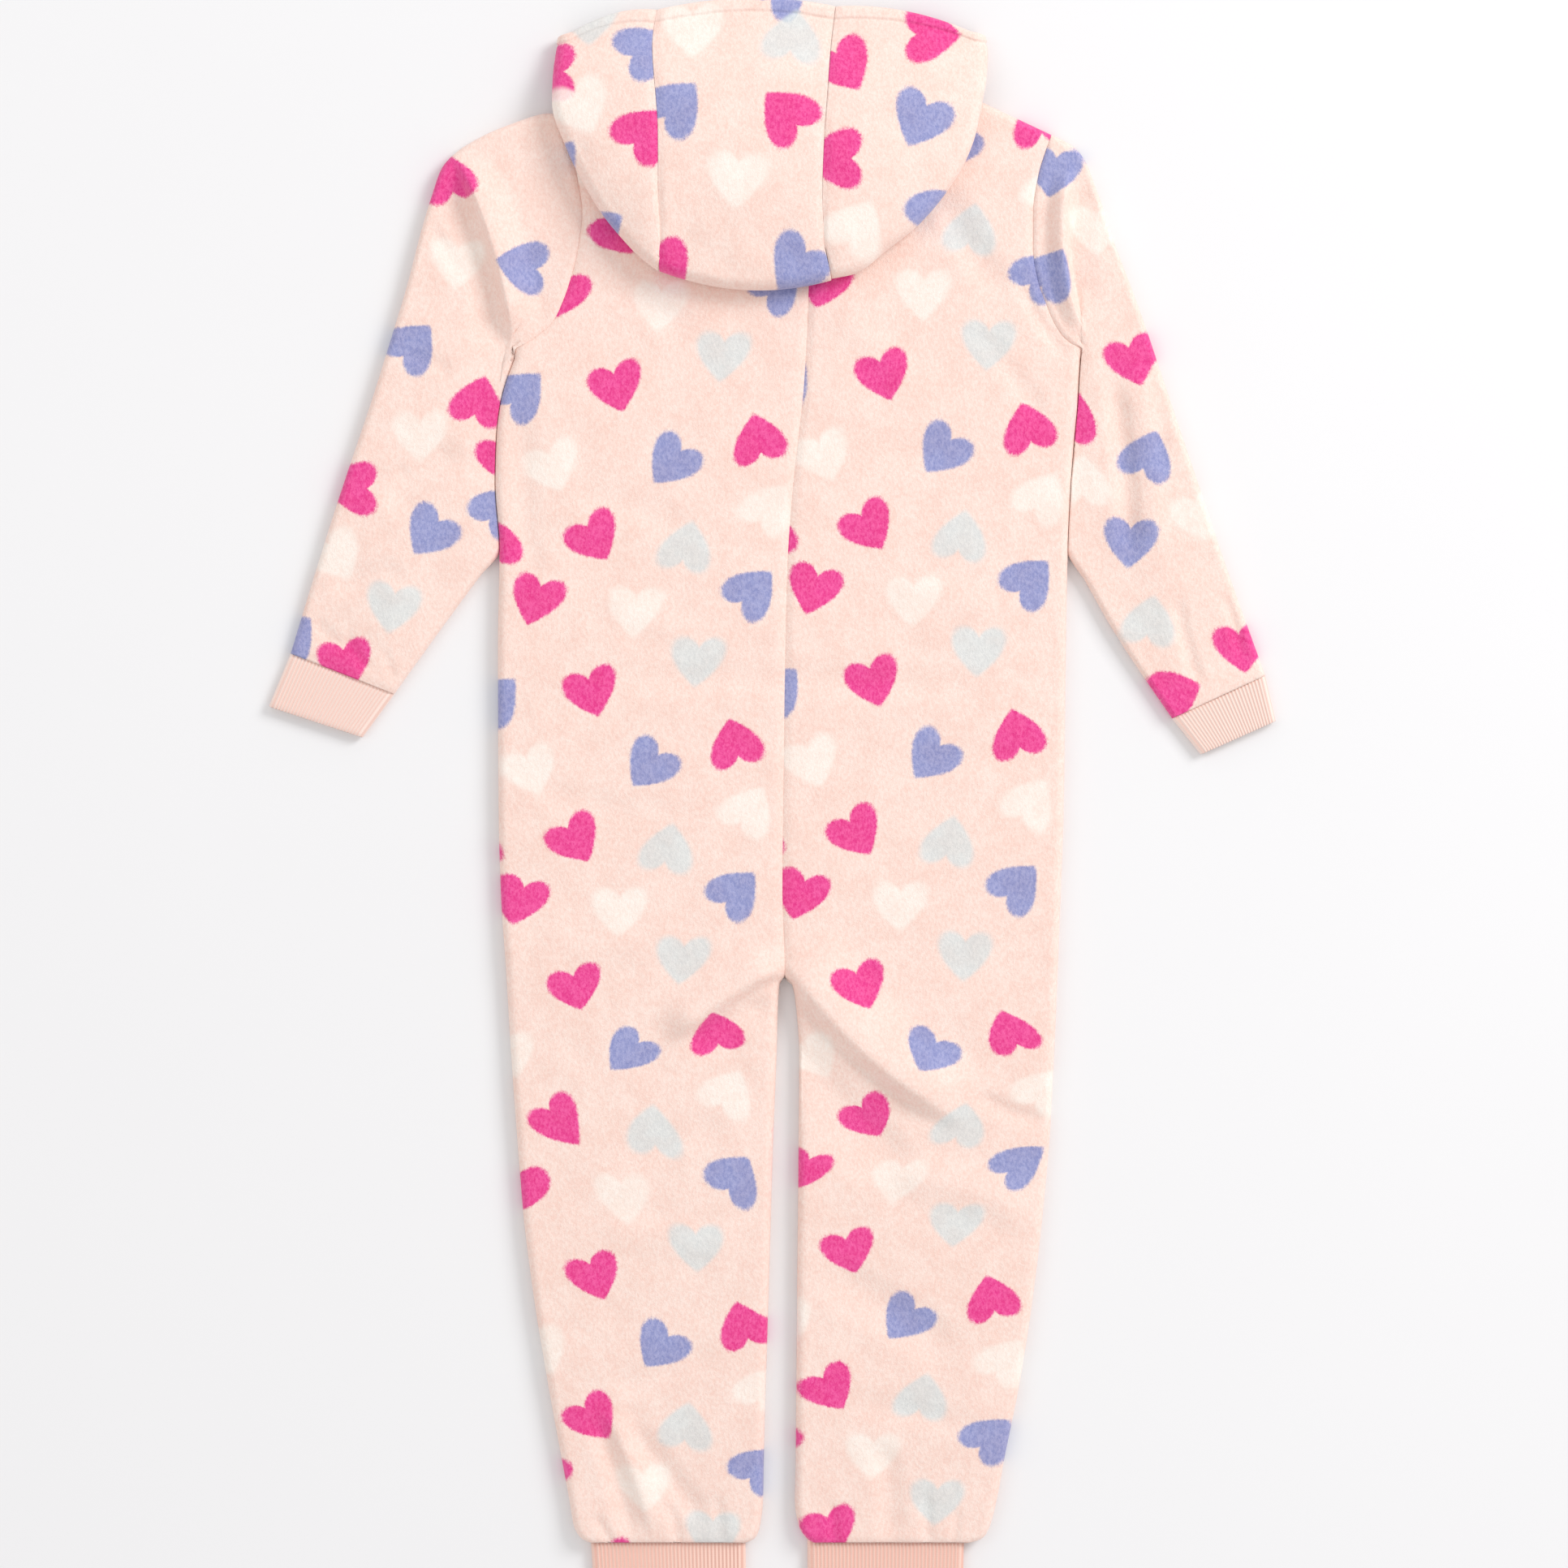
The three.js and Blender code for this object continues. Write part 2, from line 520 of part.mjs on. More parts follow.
function bodySolid(half, face, levels, flatColumns) {
  const middle = bodyPanel(half, face, levels, flatColumns);
  const last = middle[0].length - 1;
  const ends = (r, c) => {
    const found = [];
    const y = middle[r][c][1];
    const [before, after] = [middle[Math.max(r - 1, 0)][c], middle[Math.min(r + 1, middle.length - 1)][c]];
    const seam = (c === 0 && r >= levels.length) || (c === last && (y > CROTCH - 2));
    if (c === 0 || c === last) found.push(seam ? squareTo(before, after) : UP);
    if (r === 0) found.push(ALONG);
    if (r === middle.length - 1) found.push(UP);
    return found;
  };
  const shift = ([x, y, z]) => {
    if (face < 0) return 0;
    const rise = drape(x, y);
    const [low, full] = [LOFT / 2, LOFT - FLEECE / 2];
    if (rise > 0) return rise * clamp((z - low) / (full - low), 0, 1);
    return Math.max(rise, DEEPEST) * stepOver(z, [FREE, full]);
  };
  const halfWall = () => FLEECE / 2;
  return wall(...thicken(middle, halfWall, halfWall, shift, ends));
}

// Sleeves

// Ends of a sleeve's line at a station: the outer and the inner edge
function sleeveEnds(half, station) {
  const { ox, oy, ix, iy } = SLEEVES[half][station];
  return [ox, oy, ix ?? lookup(OUTLINE, "y", half, iy) + HALVES[half].sign * BESIDE, iy];
}

// Plan of a sleeve: the point a share of the way from its outer to its inner edge at a station.
// The first stations keep their distance from the curved armhole, and later ones are straight.
function sleevePlan(half, station, share) {
  const [ox, oy, ix, iy] = sleeveEnds(half, station);
  const start = SLEEVES[half][0];
  const onSeam = (s) => {
    const y = mix(start.oy, start.iy, clamp(s, 0, 1));
    return [lookup(OUTLINE, "y", half, y) + HALVES[half].sign * 2 * SEAM, y + 2 * SEAM * s];
  };
  const [x, y] = onSeam(share);
  if (station === 0) return [x, y];
  const out = squareTo(onSeam(share - 0.02), onSeam(share + 0.02));
  if (out.x * HALVES[half].sign < 0) out.negate();
  const outer = new THREE.Vector3(ox - start.ox, oy - start.oy, 0);
  const inner = new THREE.Vector3(ix - start.ix, iy - start.iy, 0);
  const away = mix(outer.length(), inner.length(), share);
  const [atOuter, atInner] = [smooth((0.06 - share) / 0.06), smooth((share - 0.94) / 0.06)];
  out.multiplyScalar(1 - atOuter - atInner);
  out.addScaledVector(outer.normalize(), atOuter);
  out.addScaledVector(inner.normalize(), atInner);
  out.setLength(away);
  const straight = smooth((station - 1) / 3);
  return [mix(x + out.x, mix(ox, ix, share), straight), mix(y + out.y, mix(oy, iy, share), straight)];
}

// The same place across, or the nearest one that keeps a sleeve's edge clear of the body's side
function clearOfBody(half, x, y) {
  const { sign } = HALVES[half];
  const nearby = [-8, -4, 0, 4, 8].map((d) => sign * lookup(OUTLINE, "y", half, y + d));
  return sign * Math.max(sign * x, Math.max(...nearby) + BESIDE + FLEECE / 2);
}

function sleeveSolid(half) {
  const stations = SLEEVES[half];
  const span = HALVES[half].shoulder - UNDERARM;
  const last = stations.length - 1;
  const edge = TOP_ROWS.map((d) => (d - FLEECE / 2) / span).reverse();
  const inwards = ARMHOLE_ROWS.slice(2).reverse().map((share) => 1 - share);
  const shares = [...edge, ...inwards, 1 - edge[1] * INNER_EDGE, 1];
  const over = shares.map((share) => ({ share, face: 1 }));
  const under = shares.slice(1, -1).reverse().map((share) => ({ share, face: -1 }));
  const ring = [...over, ...under];
  const middle = ring.map(({ share, face }) => stations.map((_, station) => {
    const [ox, oy, ix, iy] = sleeveEnds(half, station);
    const width = Math.hypot(ix - ox, iy - oy);
    const inner = smooth(station / 3) * smooth((share - 0.45) / 0.5);
    const loft = mix(LOFT, SLEEVE_EDGE_LOFT, Math.max(inner, smooth((station - last + 2) / 2)));
    const radius = (loft - FLEECE) / 2;
    const height = rollShare(share * width, radius) * rollShare((1 - share) * width, radius);
    const dip = station === 0 ? 1 - SEAM_DIP : 1;
    const lift = face < 0 ? UNDER_LIFT * (1 - bulge(share)) : 0;
    const [x, y] = sleevePlan(half, station, mix(FLEECE / 2, width - FLEECE / 2, share) / width);
    return [station ? clearOfBody(half, x, y) : x, y, loft / 2 + face * radius * height * dip + lift];
  }));
  const ends = (r, c) => {
    if (c !== 0 && c !== last) return [];
    const others = ring.map((_, k) => middle[k][c]).filter((_, k) => ring[k].face > 0);
    const k = ring[r].face > 0 ? r : ring.length - r;
    return [squareTo(others[Math.max(k - 1, 0)], others[Math.min(k + 1, others.length - 1)])];
  };
  const shift = ([x, y], r) => {
    const inside = Math.min(ring[r].share, 1 - ring[r].share);
    return ring[r].face > 0 ? drape(x, y) * rollShare(inside, 0.12) : 0;
  };
  const halfWall = () => FLEECE / 2;
  return wall(...thicken(middle, halfWall, halfWall, shift, ends, true), true);
}

// Cuffs: flat tubes of rib knit, whose ribs stand up on the side that shows

function cuffSolid({ seam, free }) {
  const radius = (CUFF_LOFT - RIB) / 2;
  const width = Math.hypot(seam[2] - seam[0], seam[3] - seam[1]);
  const ribs = Math.round((width - 2 * radius) / RIB_PITCH);
  const edge = rollSteps(radius).slice(0, 3).map((d) => d / width);
  const [from, to] = [radius / width, 1 - radius / width];
  const flat = Array.from({ length: 2 * ribs + 1 }, (_, k) => mix(from, to, k / (2 * ribs)));
  const top = [...edge, ...flat, ...edge.map((s) => 1 - s).reverse()];
  const atEdge = (k) => k < edge.length || k >= top.length - edge.length;
  const ribAt = (k) => (atEdge(k) ? 0 : RIB_RISE * (k % 2 ? -1 : 1));
  const ring = [
    ...top.map((share, k) => ({ share, face: 1, rib: ribAt(k) })),
    ...[1 - radius / width, 0.5, radius / width].map((share) => ({ share, face: -1, rib: 0 })),
  ];
  const lengths = [0, 1];
  const square = squareTo([seam[0], seam[1]], [seam[2], seam[3]]);
  const freeSquare = squareTo([free[0], free[1]], [free[2], free[3]]);
  const middle = ring.map(({ share, face }) => lengths.map((along) => {
    const [ax, ay] = [mix(seam[0], free[0], along), mix(seam[1], free[1], along)];
    const [bx, by] = [mix(seam[2], free[2], along), mix(seam[3], free[3], along)];
    const span = Math.hypot(bx - ax, by - ay);
    const inset = RIB / 2 * (1 - 2 * share) / span;
    const fx = mix(free[0], free[2], share) - mix(seam[0], seam[2], share);
    const fy = mix(free[1], free[3], share) - mix(seam[1], seam[3], share);
    const gap = (along ? 0 : SEAM) / Math.hypot(fx, fy);
    const height = rollShare(share * width, radius) * rollShare((1 - share) * width, radius);
    const x = mix(ax, bx, share) + (bx - ax) * inset + fx * gap;
    const y = mix(ay, by, share) + (by - ay) * inset + fy * gap;
    return [x, y, CUFF_LOFT / 2 + face * radius * height];
  }));
  const ends = (r, c) => [c ? freeSquare : square];
  return wall(...thicken(middle, (r) => RIB / 2 + ring[r].rib, () => RIB / 2, () => 0, ends, true), true);
}

// Hood

function hoodEdge(half, y) {
  const rows = HOOD_SIDES[half].edge.map(([x, level]) => ({ x, y: level })).reverse();
  return lookup(rows, "y", "x", y);
}

// Level of the middle of the hood's cloth: highest between the seams, lower towards the edge
function hoodLevel(x, y) {
  const middle = lookup(HOOD_LEVELS, "y", "middle", y);
  const edge = lookup(HOOD_LEVELS, "y", "edge", y);
  const [left, right] = [lookup(GUSSET, "y", "left", y), lookup(GUSSET, "y", "right", y)];
  const half = x < (left + right) / 2 ? "left" : "right";
  const seam = half === "left" ? left : right;
  const share = (x - seam) / (hoodEdge(half, y) - seam);
  if (share > 0) return mix(middle, edge, Math.min(share, 1) ** 2);
  const across = (x - left) / (right - left);
  return middle + HOOD_CROWN * bulge(across);
}

function crownY(x) {
  return CROWN.deepest + CROWN.curve * (x - CROWN.middle) ** 2;
}

// Points of a row that runs straight from a seam to the hood's edge and then rolls under it
function hoodRow(from, to, columns) {
  const [dx, dy] = [to[0] - from[0], to[1] - from[1]];
  const length = Math.hypot(dx, dy);
  const [ux, uy] = [dx / length, dy / length];
  const flat = length - HOOD_ROLL - FLEECE / 2;
  const end = [from[0] + ux * flat, from[1] + uy * flat];
  const high = hoodLevel(...end);
  const low = lookup(HOOD_LEVELS, "y", "under", end[1]);
  const row = columns.map((share) => {
    const [x, y] = [from[0] + ux * flat * share, from[1] + uy * flat * share];
    return [x, y, hoodLevel(x, y)];
  });
  for (const degrees of HOOD_TURN) {
    const angle = THREE.MathUtils.degToRad(degrees);
    const out = HOOD_ROLL * Math.sin(angle);
    row.push([end[0] + ux * out, end[1] + uy * out, mix(low, high, (1 + Math.cos(angle)) / 2)]);
  }
  return row;
}

function hoodSide(half) {
  const { mouth, bow, edge } = HOOD_SIDES[half];
  const sign = HALVES[half].sign;
  const columns = [0, 0.12, 0.3, 0.5, 0.75, 1];
  const middle = HOOD_ROWS.map((row, r) => {
    const y = Math.max(mouth - row.seam, CORNER[half]);
    const from = [lookup(GUSSET, "y", half, y) + sign * SEAM, y];
    const to = trace(edge, row.edge);
    if (row.seam > 900) to[0] += sign * SEAM;
    const points = hoodRow(from, to, columns);
    const fade = 1 - smooth(row.seam / 60);
    return points.map(([x, level, z], k) => {
      const share = k < columns.length ? columns[k] : 1;
      const dip = (k === 0 || r === HOOD_ROWS.length - 1) && k < columns.length ? HOOD_DIP : 0;
      return [x, level + bow * bulge(share) * fade, z - dip];
    });
  });
  const [above, below] = [(r) => HOOD_ROWS[r].above, (r) => HOOD_ROWS[r].below];
  const last = middle.length - 1;
  const ends = (r, c) => {
    if (r === last) return [squareTo(middle[r][0], middle[r][columns.length])];
    return c ? [] : [squareTo(middle[Math.max(r - 1, 0)][0], middle[r + 1][0])];
  };
  return wall(...thicken(middle, sign > 0 ? above : below, sign > 0 ? below : above, () => 0, ends));
}

function hoodMiddle() {
  const shares = [0, 0.04, 0.2, 0.4, 0.6, 0.8, 0.96, 1];
  const rows = HOOD_ROWS.slice(0, -1);
  const columns = shares.map((share) => {
    const mouthY = mix(HOOD_SIDES.left.mouth, HOOD_SIDES.right.mouth, share) + MOUTH_PEAK * bulge(share);
    const seamAt = (side, y) => lookup(GUSSET, "y", side, y);
    const xAt = (y) => mix(seamAt("left", y) + SEAM, seamAt("right", y) - SEAM, share);
    const bottom = crownY(xAt(900));
    const end = bottom + HOOD_ROLL + FLEECE / 2;
    const dip = share === 0 || share === 1 ? HOOD_DIP : 0;
    const column = rows.map((row) => {
      const y = row.seam < 30 ? mouthY - row.seam : mix(mouthY - 24, end, (row.seam - 24) / (142 - 24));
      return [xAt(y), y, hoodLevel(xAt(y), y) - dip];
    });
    const high = hoodLevel(xAt(end), end);
    const low = BACK_TOP + FLEECE / 2;
    for (const degrees of HOOD_TURN) {
      const angle = THREE.MathUtils.degToRad(degrees);
      const y = end - HOOD_ROLL * Math.sin(angle);
      column.push([xAt(y), y, mix(low, high, (1 + Math.cos(angle)) / 2)]);
    }
    return column;
  });
  const middle = columns[0].map((_, r) => columns.map((column) => column[r]));
  const at = (r) => HOOD_ROWS[Math.min(r, rows.length - 1)];
  const ends = (r, c) => (c && c < shares.length - 1 ? [] : [ACROSS]);
  return wall(...thicken(middle, (r) => at(r).above, (r) => at(r).below, () => 0, ends));
}

// The inner layers that the hood hides, as one rounded solid on the back
function hoodCore() {
  const shares = [0, 0.05, 0.15, 0.3, 0.5, 0.7, 0.85, 0.95, 1];
  const { rows, inset, shift, clear, step } = HOOD_CORE;
  const top = [];
  const bottom = [];
  rows.forEach((y, r) => {
    const low = y > step ? FLEECE + 0.6 : BACK_TOP;
    const ends = r === 0 || r === rows.length - 1 ? 0.45 : 1;
    const [left, right] = [hoodEdge("left", y - shift) + inset, hoodEdge("right", y - shift) - inset];
    const plan = shares.map((s) => [mix(left, right, s), y]);
    top.push(plan.map(([x, level], c) => {
      const high = hoodLevel(x, level) - FLEECE / 2 - clear;
      const side = 0.3 + 0.7 * rollShare(Math.min(shares[c], 1 - shares[c]), 0.15);
      return [x, level, mix(low, high, ends * side)];
    }));
    bottom.push(plan.map(([x, level]) => [x, level, low]));
  });
  return wall(top, bottom);
}

// Prism inside the front neckline, which is cut from the front panels
function neckPrism() {
  const outline = [];
  for (let degrees = -180; degrees < 180; degrees += 11) {
    const angle = THREE.MathUtils.degToRad(degrees);
    outline.push(new THREE.Vector2(NECK.across * Math.cos(angle), NECK.level + NECK.deep * Math.sin(angle)));
  }
  const depth = LOFT + 2;
  const geometry = new THREE.ExtrudeGeometry(new THREE.Shape(outline), { depth, bevelEnabled: false });
  return geometry.translate(0, 0, -1);
}

// Front of one side panel of the hood: a flat strip along the neckline, out to the shoulder
function hoodFront(half) {
  const sign = HALVES[half].sign;
  const outline = [];
  for (let degrees = 88; degrees > 0; degrees -= 22) {
    const angle = THREE.MathUtils.degToRad(degrees);
    const [across, deep] = [(NECK.across - SEAM) * Math.cos(angle), (NECK.deep - SEAM) * Math.sin(angle)];
    outline.push(new THREE.Vector2(sign * across, NECK.level - deep + SEAM));
  }
  for (const [x, y] of HOOD_FRONT[half]) outline.push(new THREE.Vector2(x, y));
  const plate = new THREE.ExtrudeGeometry(new THREE.Shape(outline), { depth: FLEECE, bevelEnabled: false });
  return plate;
}

// Joining and cutting of closed meshes

function asManifold(geometry) {
  const bare = geometry.clone();
  bare.deleteAttribute("normal");
  bare.deleteAttribute("uv");
  const merged = mergeVertices(bare, 1e-4);
  return new wasm.Manifold(new wasm.Mesh({
    numProp: 3,
    vertProperties: new Float32Array(merged.attributes.position.array),
    triVerts: new Uint32Array(merged.index.array),
  }));
}

function asGeometry(solid) {
  const mesh = solid.getMesh();
  const geometry = new THREE.BufferGeometry();
  geometry.setAttribute("position", new THREE.Float32BufferAttribute(mesh.vertProperties, 3));
  geometry.setIndex(Array.from(mesh.triVerts));
  geometry.computeVertexNormals();
  return geometry;
}

// Zip: tapes and closed teeth as one strip, its slider, and the slider's pull tab

function bar(points, depth, turn) {
  const shape = new THREE.Shape(points.map(([x, y]) => new THREE.Vector2(x, y)));
  const geometry = new THREE.ExtrudeGeometry(shape, { depth, bevelEnabled: false });
  geometry.applyMatrix4(turn);
  return geometry;
}

function zipTape() {
  const { tape, tapeLevel, tapeThick, coil, coilLow, coilHigh, top, bottom } = ZIP;
  const [tapeSide, coilSide, tapeTop] = [tape / 2, coil / 2, tapeLevel + tapeThick];
  const section = [
    [-tapeSide, tapeLevel], [-coilSide, tapeLevel], [-coilSide, coilLow], [coilSide, coilLow],
    [coilSide, tapeLevel], [tapeSide, tapeLevel], [tapeSide, tapeTop], [coilSide, tapeTop],
    [coilSide, coilHigh], [-coilSide, coilHigh], [-coilSide, tapeTop], [-tapeSide, tapeTop],
  ];
  const length = top - SLIDER.post - SEAM - bottom;
  const turn = new THREE.Matrix4().makeRotationX(Math.PI / 2).setPosition(0, bottom + length, 0);
  return bar(section, length, turn);
}

// Turns a profile drawn in (y, z) and drawn out by depth so that the depth runs along x
function acrossX(depth) {
  return new THREE.Matrix4().set(0, 0, 1, -depth / 2, 1, 0, 0, 0, 0, 1, 0, 0, 0, 0, 0, 1);
}

function zipSlider() {
  const { wide, long, outer, inner, plate, post } = SLIDER;
  const [low, high] = [ZIP.top - long, ZIP.top];
  const body = [[low, outer], [high, outer], [high, inner], [low, inner], [low, inner - plate],
    [high - post, inner - plate], [high - post, outer + plate], [low, outer + plate]];
  const pivot = ZIP.top - SLIDER.long / 2;
  const [near, far] = [pivot - BAIL.hole / 2, pivot + BAIL.hole / 2];
  const [foot, ceiling] = [outer + 0.2, BAIL.low + BAIL.thick];
  const arch = [
    [near - BAIL.thick, foot], [near - BAIL.thick, BAIL.low], [far + BAIL.thick, BAIL.low],
    [far + BAIL.thick, foot], [far, foot], [far, ceiling], [near, ceiling], [near, foot],
  ];
  const plates = asManifold(bar(body, wide, acrossX(wide)));
  return asGeometry(plates.add(asManifold(bar(arch, BAIL.wide, acrossX(BAIL.wide)))));
}

function zipPull() {
  const { wide, long, thick, level, bar: rod, eye } = PULL;
  const pivot = ZIP.top - SLIDER.long / 2;
  const tab = new THREE.Shape();
  const top = pivot + rod / 2;
  tab.moveTo(-wide / 2, top);
  tab.lineTo(-wide / 2, top - long + wide / 2);
  tab.absarc(0, top - long + wide / 2, wide / 2, Math.PI, 2 * Math.PI, false);
  tab.lineTo(wide / 2, top);
  const [eyeTop, eyeLow, eyeSide] = [pivot - rod / 2, pivot - eye.long, eye.wide / 2];
  const corners = [[-eyeSide, eyeTop], [-eyeSide, eyeLow], [eyeSide, eyeLow], [eyeSide, eyeTop]];
  tab.holes.push(new THREE.Path(corners.map(([x, y]) => new THREE.Vector2(x, y))));
  const geometry = new THREE.ExtrudeGeometry(tab, { depth: thick, bevelEnabled: false, curveSegments: 6 });
  geometry.translate(0, 0, level - thick / 2);
  return geometry;
}

// The suit

const suit = new THREE.Group();

function addPiece(name, geometry, colour, roughness, metalness = 0) {
  const material = new THREE.MeshStandardMaterial({ color: colour, roughness, metalness });
  const mesh = new THREE.Mesh(geometry, material);
  mesh.name = name;
  suit.add(mesh);
}

for (const half of ["left", "right"]) {
  addPiece(`back_${half}`, bodySolid(half, 1, BACK_ROWS, 7), COLOURS.fleece, 0.95);
  const front = asManifold(bodySolid(half, -1, FRONT_ROWS, 3)).subtract(asManifold(neckPrism()));
  addPiece(`front_${half}`, asGeometry(front), COLOURS.fleece, 0.95);
  addPiece(`sleeve_${half}`, sleeveSolid(half), COLOURS.fleece, 0.95);
  const side = asManifold(hoodSide(half)).add(asManifold(hoodFront(half)));
  addPiece(`hood_side_${half}`, asGeometry(side), COLOURS.fleece, 0.95);
}
addPiece("hood_middle", hoodMiddle(), COLOURS.fleece, 0.95);
addPiece("hood_folds", hoodCore(), COLOURS.fleece, 0.95);
for (const cuff of CUFFS) addPiece(cuff.name, cuffSolid(cuff), COLOURS.rib, 0.9);
addPiece("zip_tape", zipTape(), COLOURS.zip, 0.6);
addPiece("zip_slider", zipSlider(), COLOURS.metal, 0.35, 0.9);
addPiece("zip_pull", zipPull(), COLOURS.metal, 0.35, 0.9);

const box = new THREE.Box3().setFromObject(suit);
suit.position.set(-(box.min.x + box.max.x) / 2, -(box.min.y + box.max.y) / 2, -box.min.z);
suit.updateMatrixWorld(true);

export default suit;
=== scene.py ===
import bpy
import numpy as np
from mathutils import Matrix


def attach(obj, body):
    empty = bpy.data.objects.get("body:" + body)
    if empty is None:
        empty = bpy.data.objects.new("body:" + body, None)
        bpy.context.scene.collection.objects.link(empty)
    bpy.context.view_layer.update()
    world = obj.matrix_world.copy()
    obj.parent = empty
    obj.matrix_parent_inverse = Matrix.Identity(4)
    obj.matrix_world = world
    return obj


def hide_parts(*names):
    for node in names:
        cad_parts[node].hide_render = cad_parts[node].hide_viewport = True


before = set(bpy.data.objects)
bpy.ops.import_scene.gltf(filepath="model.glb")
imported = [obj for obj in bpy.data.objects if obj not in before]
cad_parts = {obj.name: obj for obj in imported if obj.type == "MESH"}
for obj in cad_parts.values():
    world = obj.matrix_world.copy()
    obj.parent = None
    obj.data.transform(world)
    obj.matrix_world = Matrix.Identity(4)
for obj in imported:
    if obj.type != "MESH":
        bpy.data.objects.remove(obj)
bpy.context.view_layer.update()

# Floor, light and camera. The suit lies on a pale floor under a broad soft light from the upper
# right, and the camera looks straight down at it.


LAYOUT = (6.3373, -546.2072, 0)  # the layout's origin, at the centre line and cuff edge, in the frame


def place(points):
    """Points of the suit's own layout, in millimetres, as places in the frame in metres."""
    return (np.asarray(points, float) + LAYOUT) / 1000


def shade(red, green, blue):
    """Linear colour of a swatch in 0 to 255: the screen's curve, a power of 2.4, taken off."""
    swatch = np.array([red, green, blue]) / 255
    return (*((swatch + 0.055) / 1.055) ** 2.4, 1.0)


class Wire:
    """A node's socket that takes part in sums: each operator adds the Math node for it."""

    def __init__(self, finish, socket):
        self.finish = finish
        self.socket = socket

    def math(self, operation, *terms):
        return self.finish.node("ShaderNodeMath", {"operation": operation}, dict(enumerate(terms)))

    def __add__(self, other):
        return self.math("ADD", self, other)

    def __sub__(self, other):
        return self.math("SUBTRACT", self, other)

    def __rsub__(self, other):
        return self.math("SUBTRACT", other, self)

    def __mul__(self, other):
        return self.math("MULTIPLY", self, other)

    def __pow__(self, other):
        return self.math("POWER", self, other)

    def __abs__(self):
        return self.math("ABSOLUTE", self)

    __radd__ = __add__
    __rmul__ = __mul__


class Finish:
    """A node tree, of a material or of a group, that is filled node by node."""

    def __init__(self, tree):
        self.tree = tree

    def node(self, kind, settings=None, sockets=None, output=0):
        """Adds a node, makes its settings, fills its sockets with values or links, gives one output."""
        made = self.tree.nodes.new(kind)
        for name, value in (settings or {}).items():
            setattr(made, name, value)
        for key, value in (sockets or {}).items():
            if isinstance(value, Wire):
                self.tree.links.new(value.socket, made.inputs[key])
            else:
                made.inputs[key].default_value = value
        return Wire(self, made.outputs[output] if made.outputs else None)

    def parts(self, vector):
        """The part of a vector that goes across and the one that goes up."""
        return [self.node("ShaderNodeSeparateXYZ", None, {0: vector}, axis) for axis in (0, 1)]

    def vector_math(self, operation, *terms):
        return self.node("ShaderNodeVectorMath", {"operation": operation}, dict(enumerate(terms)))

    def noise(self, where, scale, detail=2.0, rough=0.5):
        sockets = {"Vector": where, "Scale": scale, "Detail": detail, "Roughness": rough}
        return self.node("ShaderNodeTexNoise", None, sockets)

    def blend(self, share, first, second, how="MIX"):
        """One colour laid over another by a share."""
        settings = {"data_type": "RGBA", "blend_type": how}
        return self.node("ShaderNodeMix", settings, {0: share, 6: first, 7: second}, 2)

    def ramp(self, value, low, high):
        """A soft step: 0 below low, 1 above high, with an S-curve between."""
        settings = {"interpolation_type": "SMOOTHSTEP"}
        return self.node("ShaderNodeMapRange", settings, {"Value": value, 1: low, 2: high})


def material(name, **fixed):
    """A material, its node tree to fill, and its shader with the fixed numbers set."""
    made = bpy.data.materials.new(name)
    made.use_nodes = True
    shader = made.node_tree.nodes["Principled BSDF"]
    for key, value in fixed.items():
        shader.inputs[key.replace("_", " ")].default_value = value
    return made, Finish(made.node_tree), shader


def feed(finish, shader, **wires):
    for key, value in wires.items():
        finish.tree.links.new(value.socket, shader.inputs[key.replace("_", " ")])


FLOOR_SIDE = 9.0
FLOOR_COLOURS = (shade(237, 236, 237), shade(239, 238, 239))
floor_finish, tree, shader = material("pale_floor", Roughness=0.9)
where = tree.node("ShaderNodeTexCoord", output=3)
feed(tree, shader, Base_Color=tree.blend(tree.noise(where, 3), *FLOOR_COLOURS))
mesh = bpy.data.meshes.new("floor")
corner = FLOOR_SIDE / 2
corners = [(-corner, -corner, 0), (corner, -corner, 0), (corner, corner, 0), (-corner, corner, 0)]
mesh.from_pydata(corners, [], [(0, 1, 2, 3)])
mesh.materials.append(floor_finish)
floor = bpy.data.objects.new("floor", mesh)
bpy.context.collection.objects.link(floor)

WORLD_LIGHT = 0.76
LAMPS = [  # name, place, turn in degrees, side, watts
    ("key", (3.3, 2.4, 2.8), (56, 0, 126), 1.9, 128),
    ("fill", (-2.6, 0.6, 3.0), (41, 0, -103), 2.0, 12),
]
world = bpy.data.worlds.new("studio")
world.use_nodes = True
world.node_tree.nodes["Background"].inputs["Color"].default_value = (1, 1, 1, 1)
world.node_tree.nodes["Background"].inputs["Strength"].default_value = WORLD_LIGHT
bpy.context.scene.world = world
for name, spot, turn, side, watts in LAMPS:
    lamp = bpy.data.lights.new(name, "AREA")
    lamp.size = side
    lamp.energy = watts
    holder = bpy.data.objects.new(name, lamp)
    holder.location = spot
    holder.rotation_euler = np.radians(turn)
    bpy.context.collection.objects.link(holder)

CAMERA = {"place": (0.0080, 0.0137, 2.962), "lens": 100, "sensor": 36}  # metres, millimetres
lens = bpy.data.cameras.new("camera")
lens.lens = CAMERA["lens"]
lens.sensor_width = CAMERA["sensor"]
camera = bpy.data.objects.new("camera", lens)
camera.location = CAMERA["place"]
bpy.context.collection.objects.link(camera)
bpy.context.scene.camera = camera
bpy.context.scene.view_settings.view_transform = "Standard"

# Back: the two panels that show, left and right, each cut in one piece from shoulder to ankle in
# printed fleece. They are sewn together down the middle and to the sleeves and the front, and lie
# over the front with soft creases at the seat, the knees and the hems.

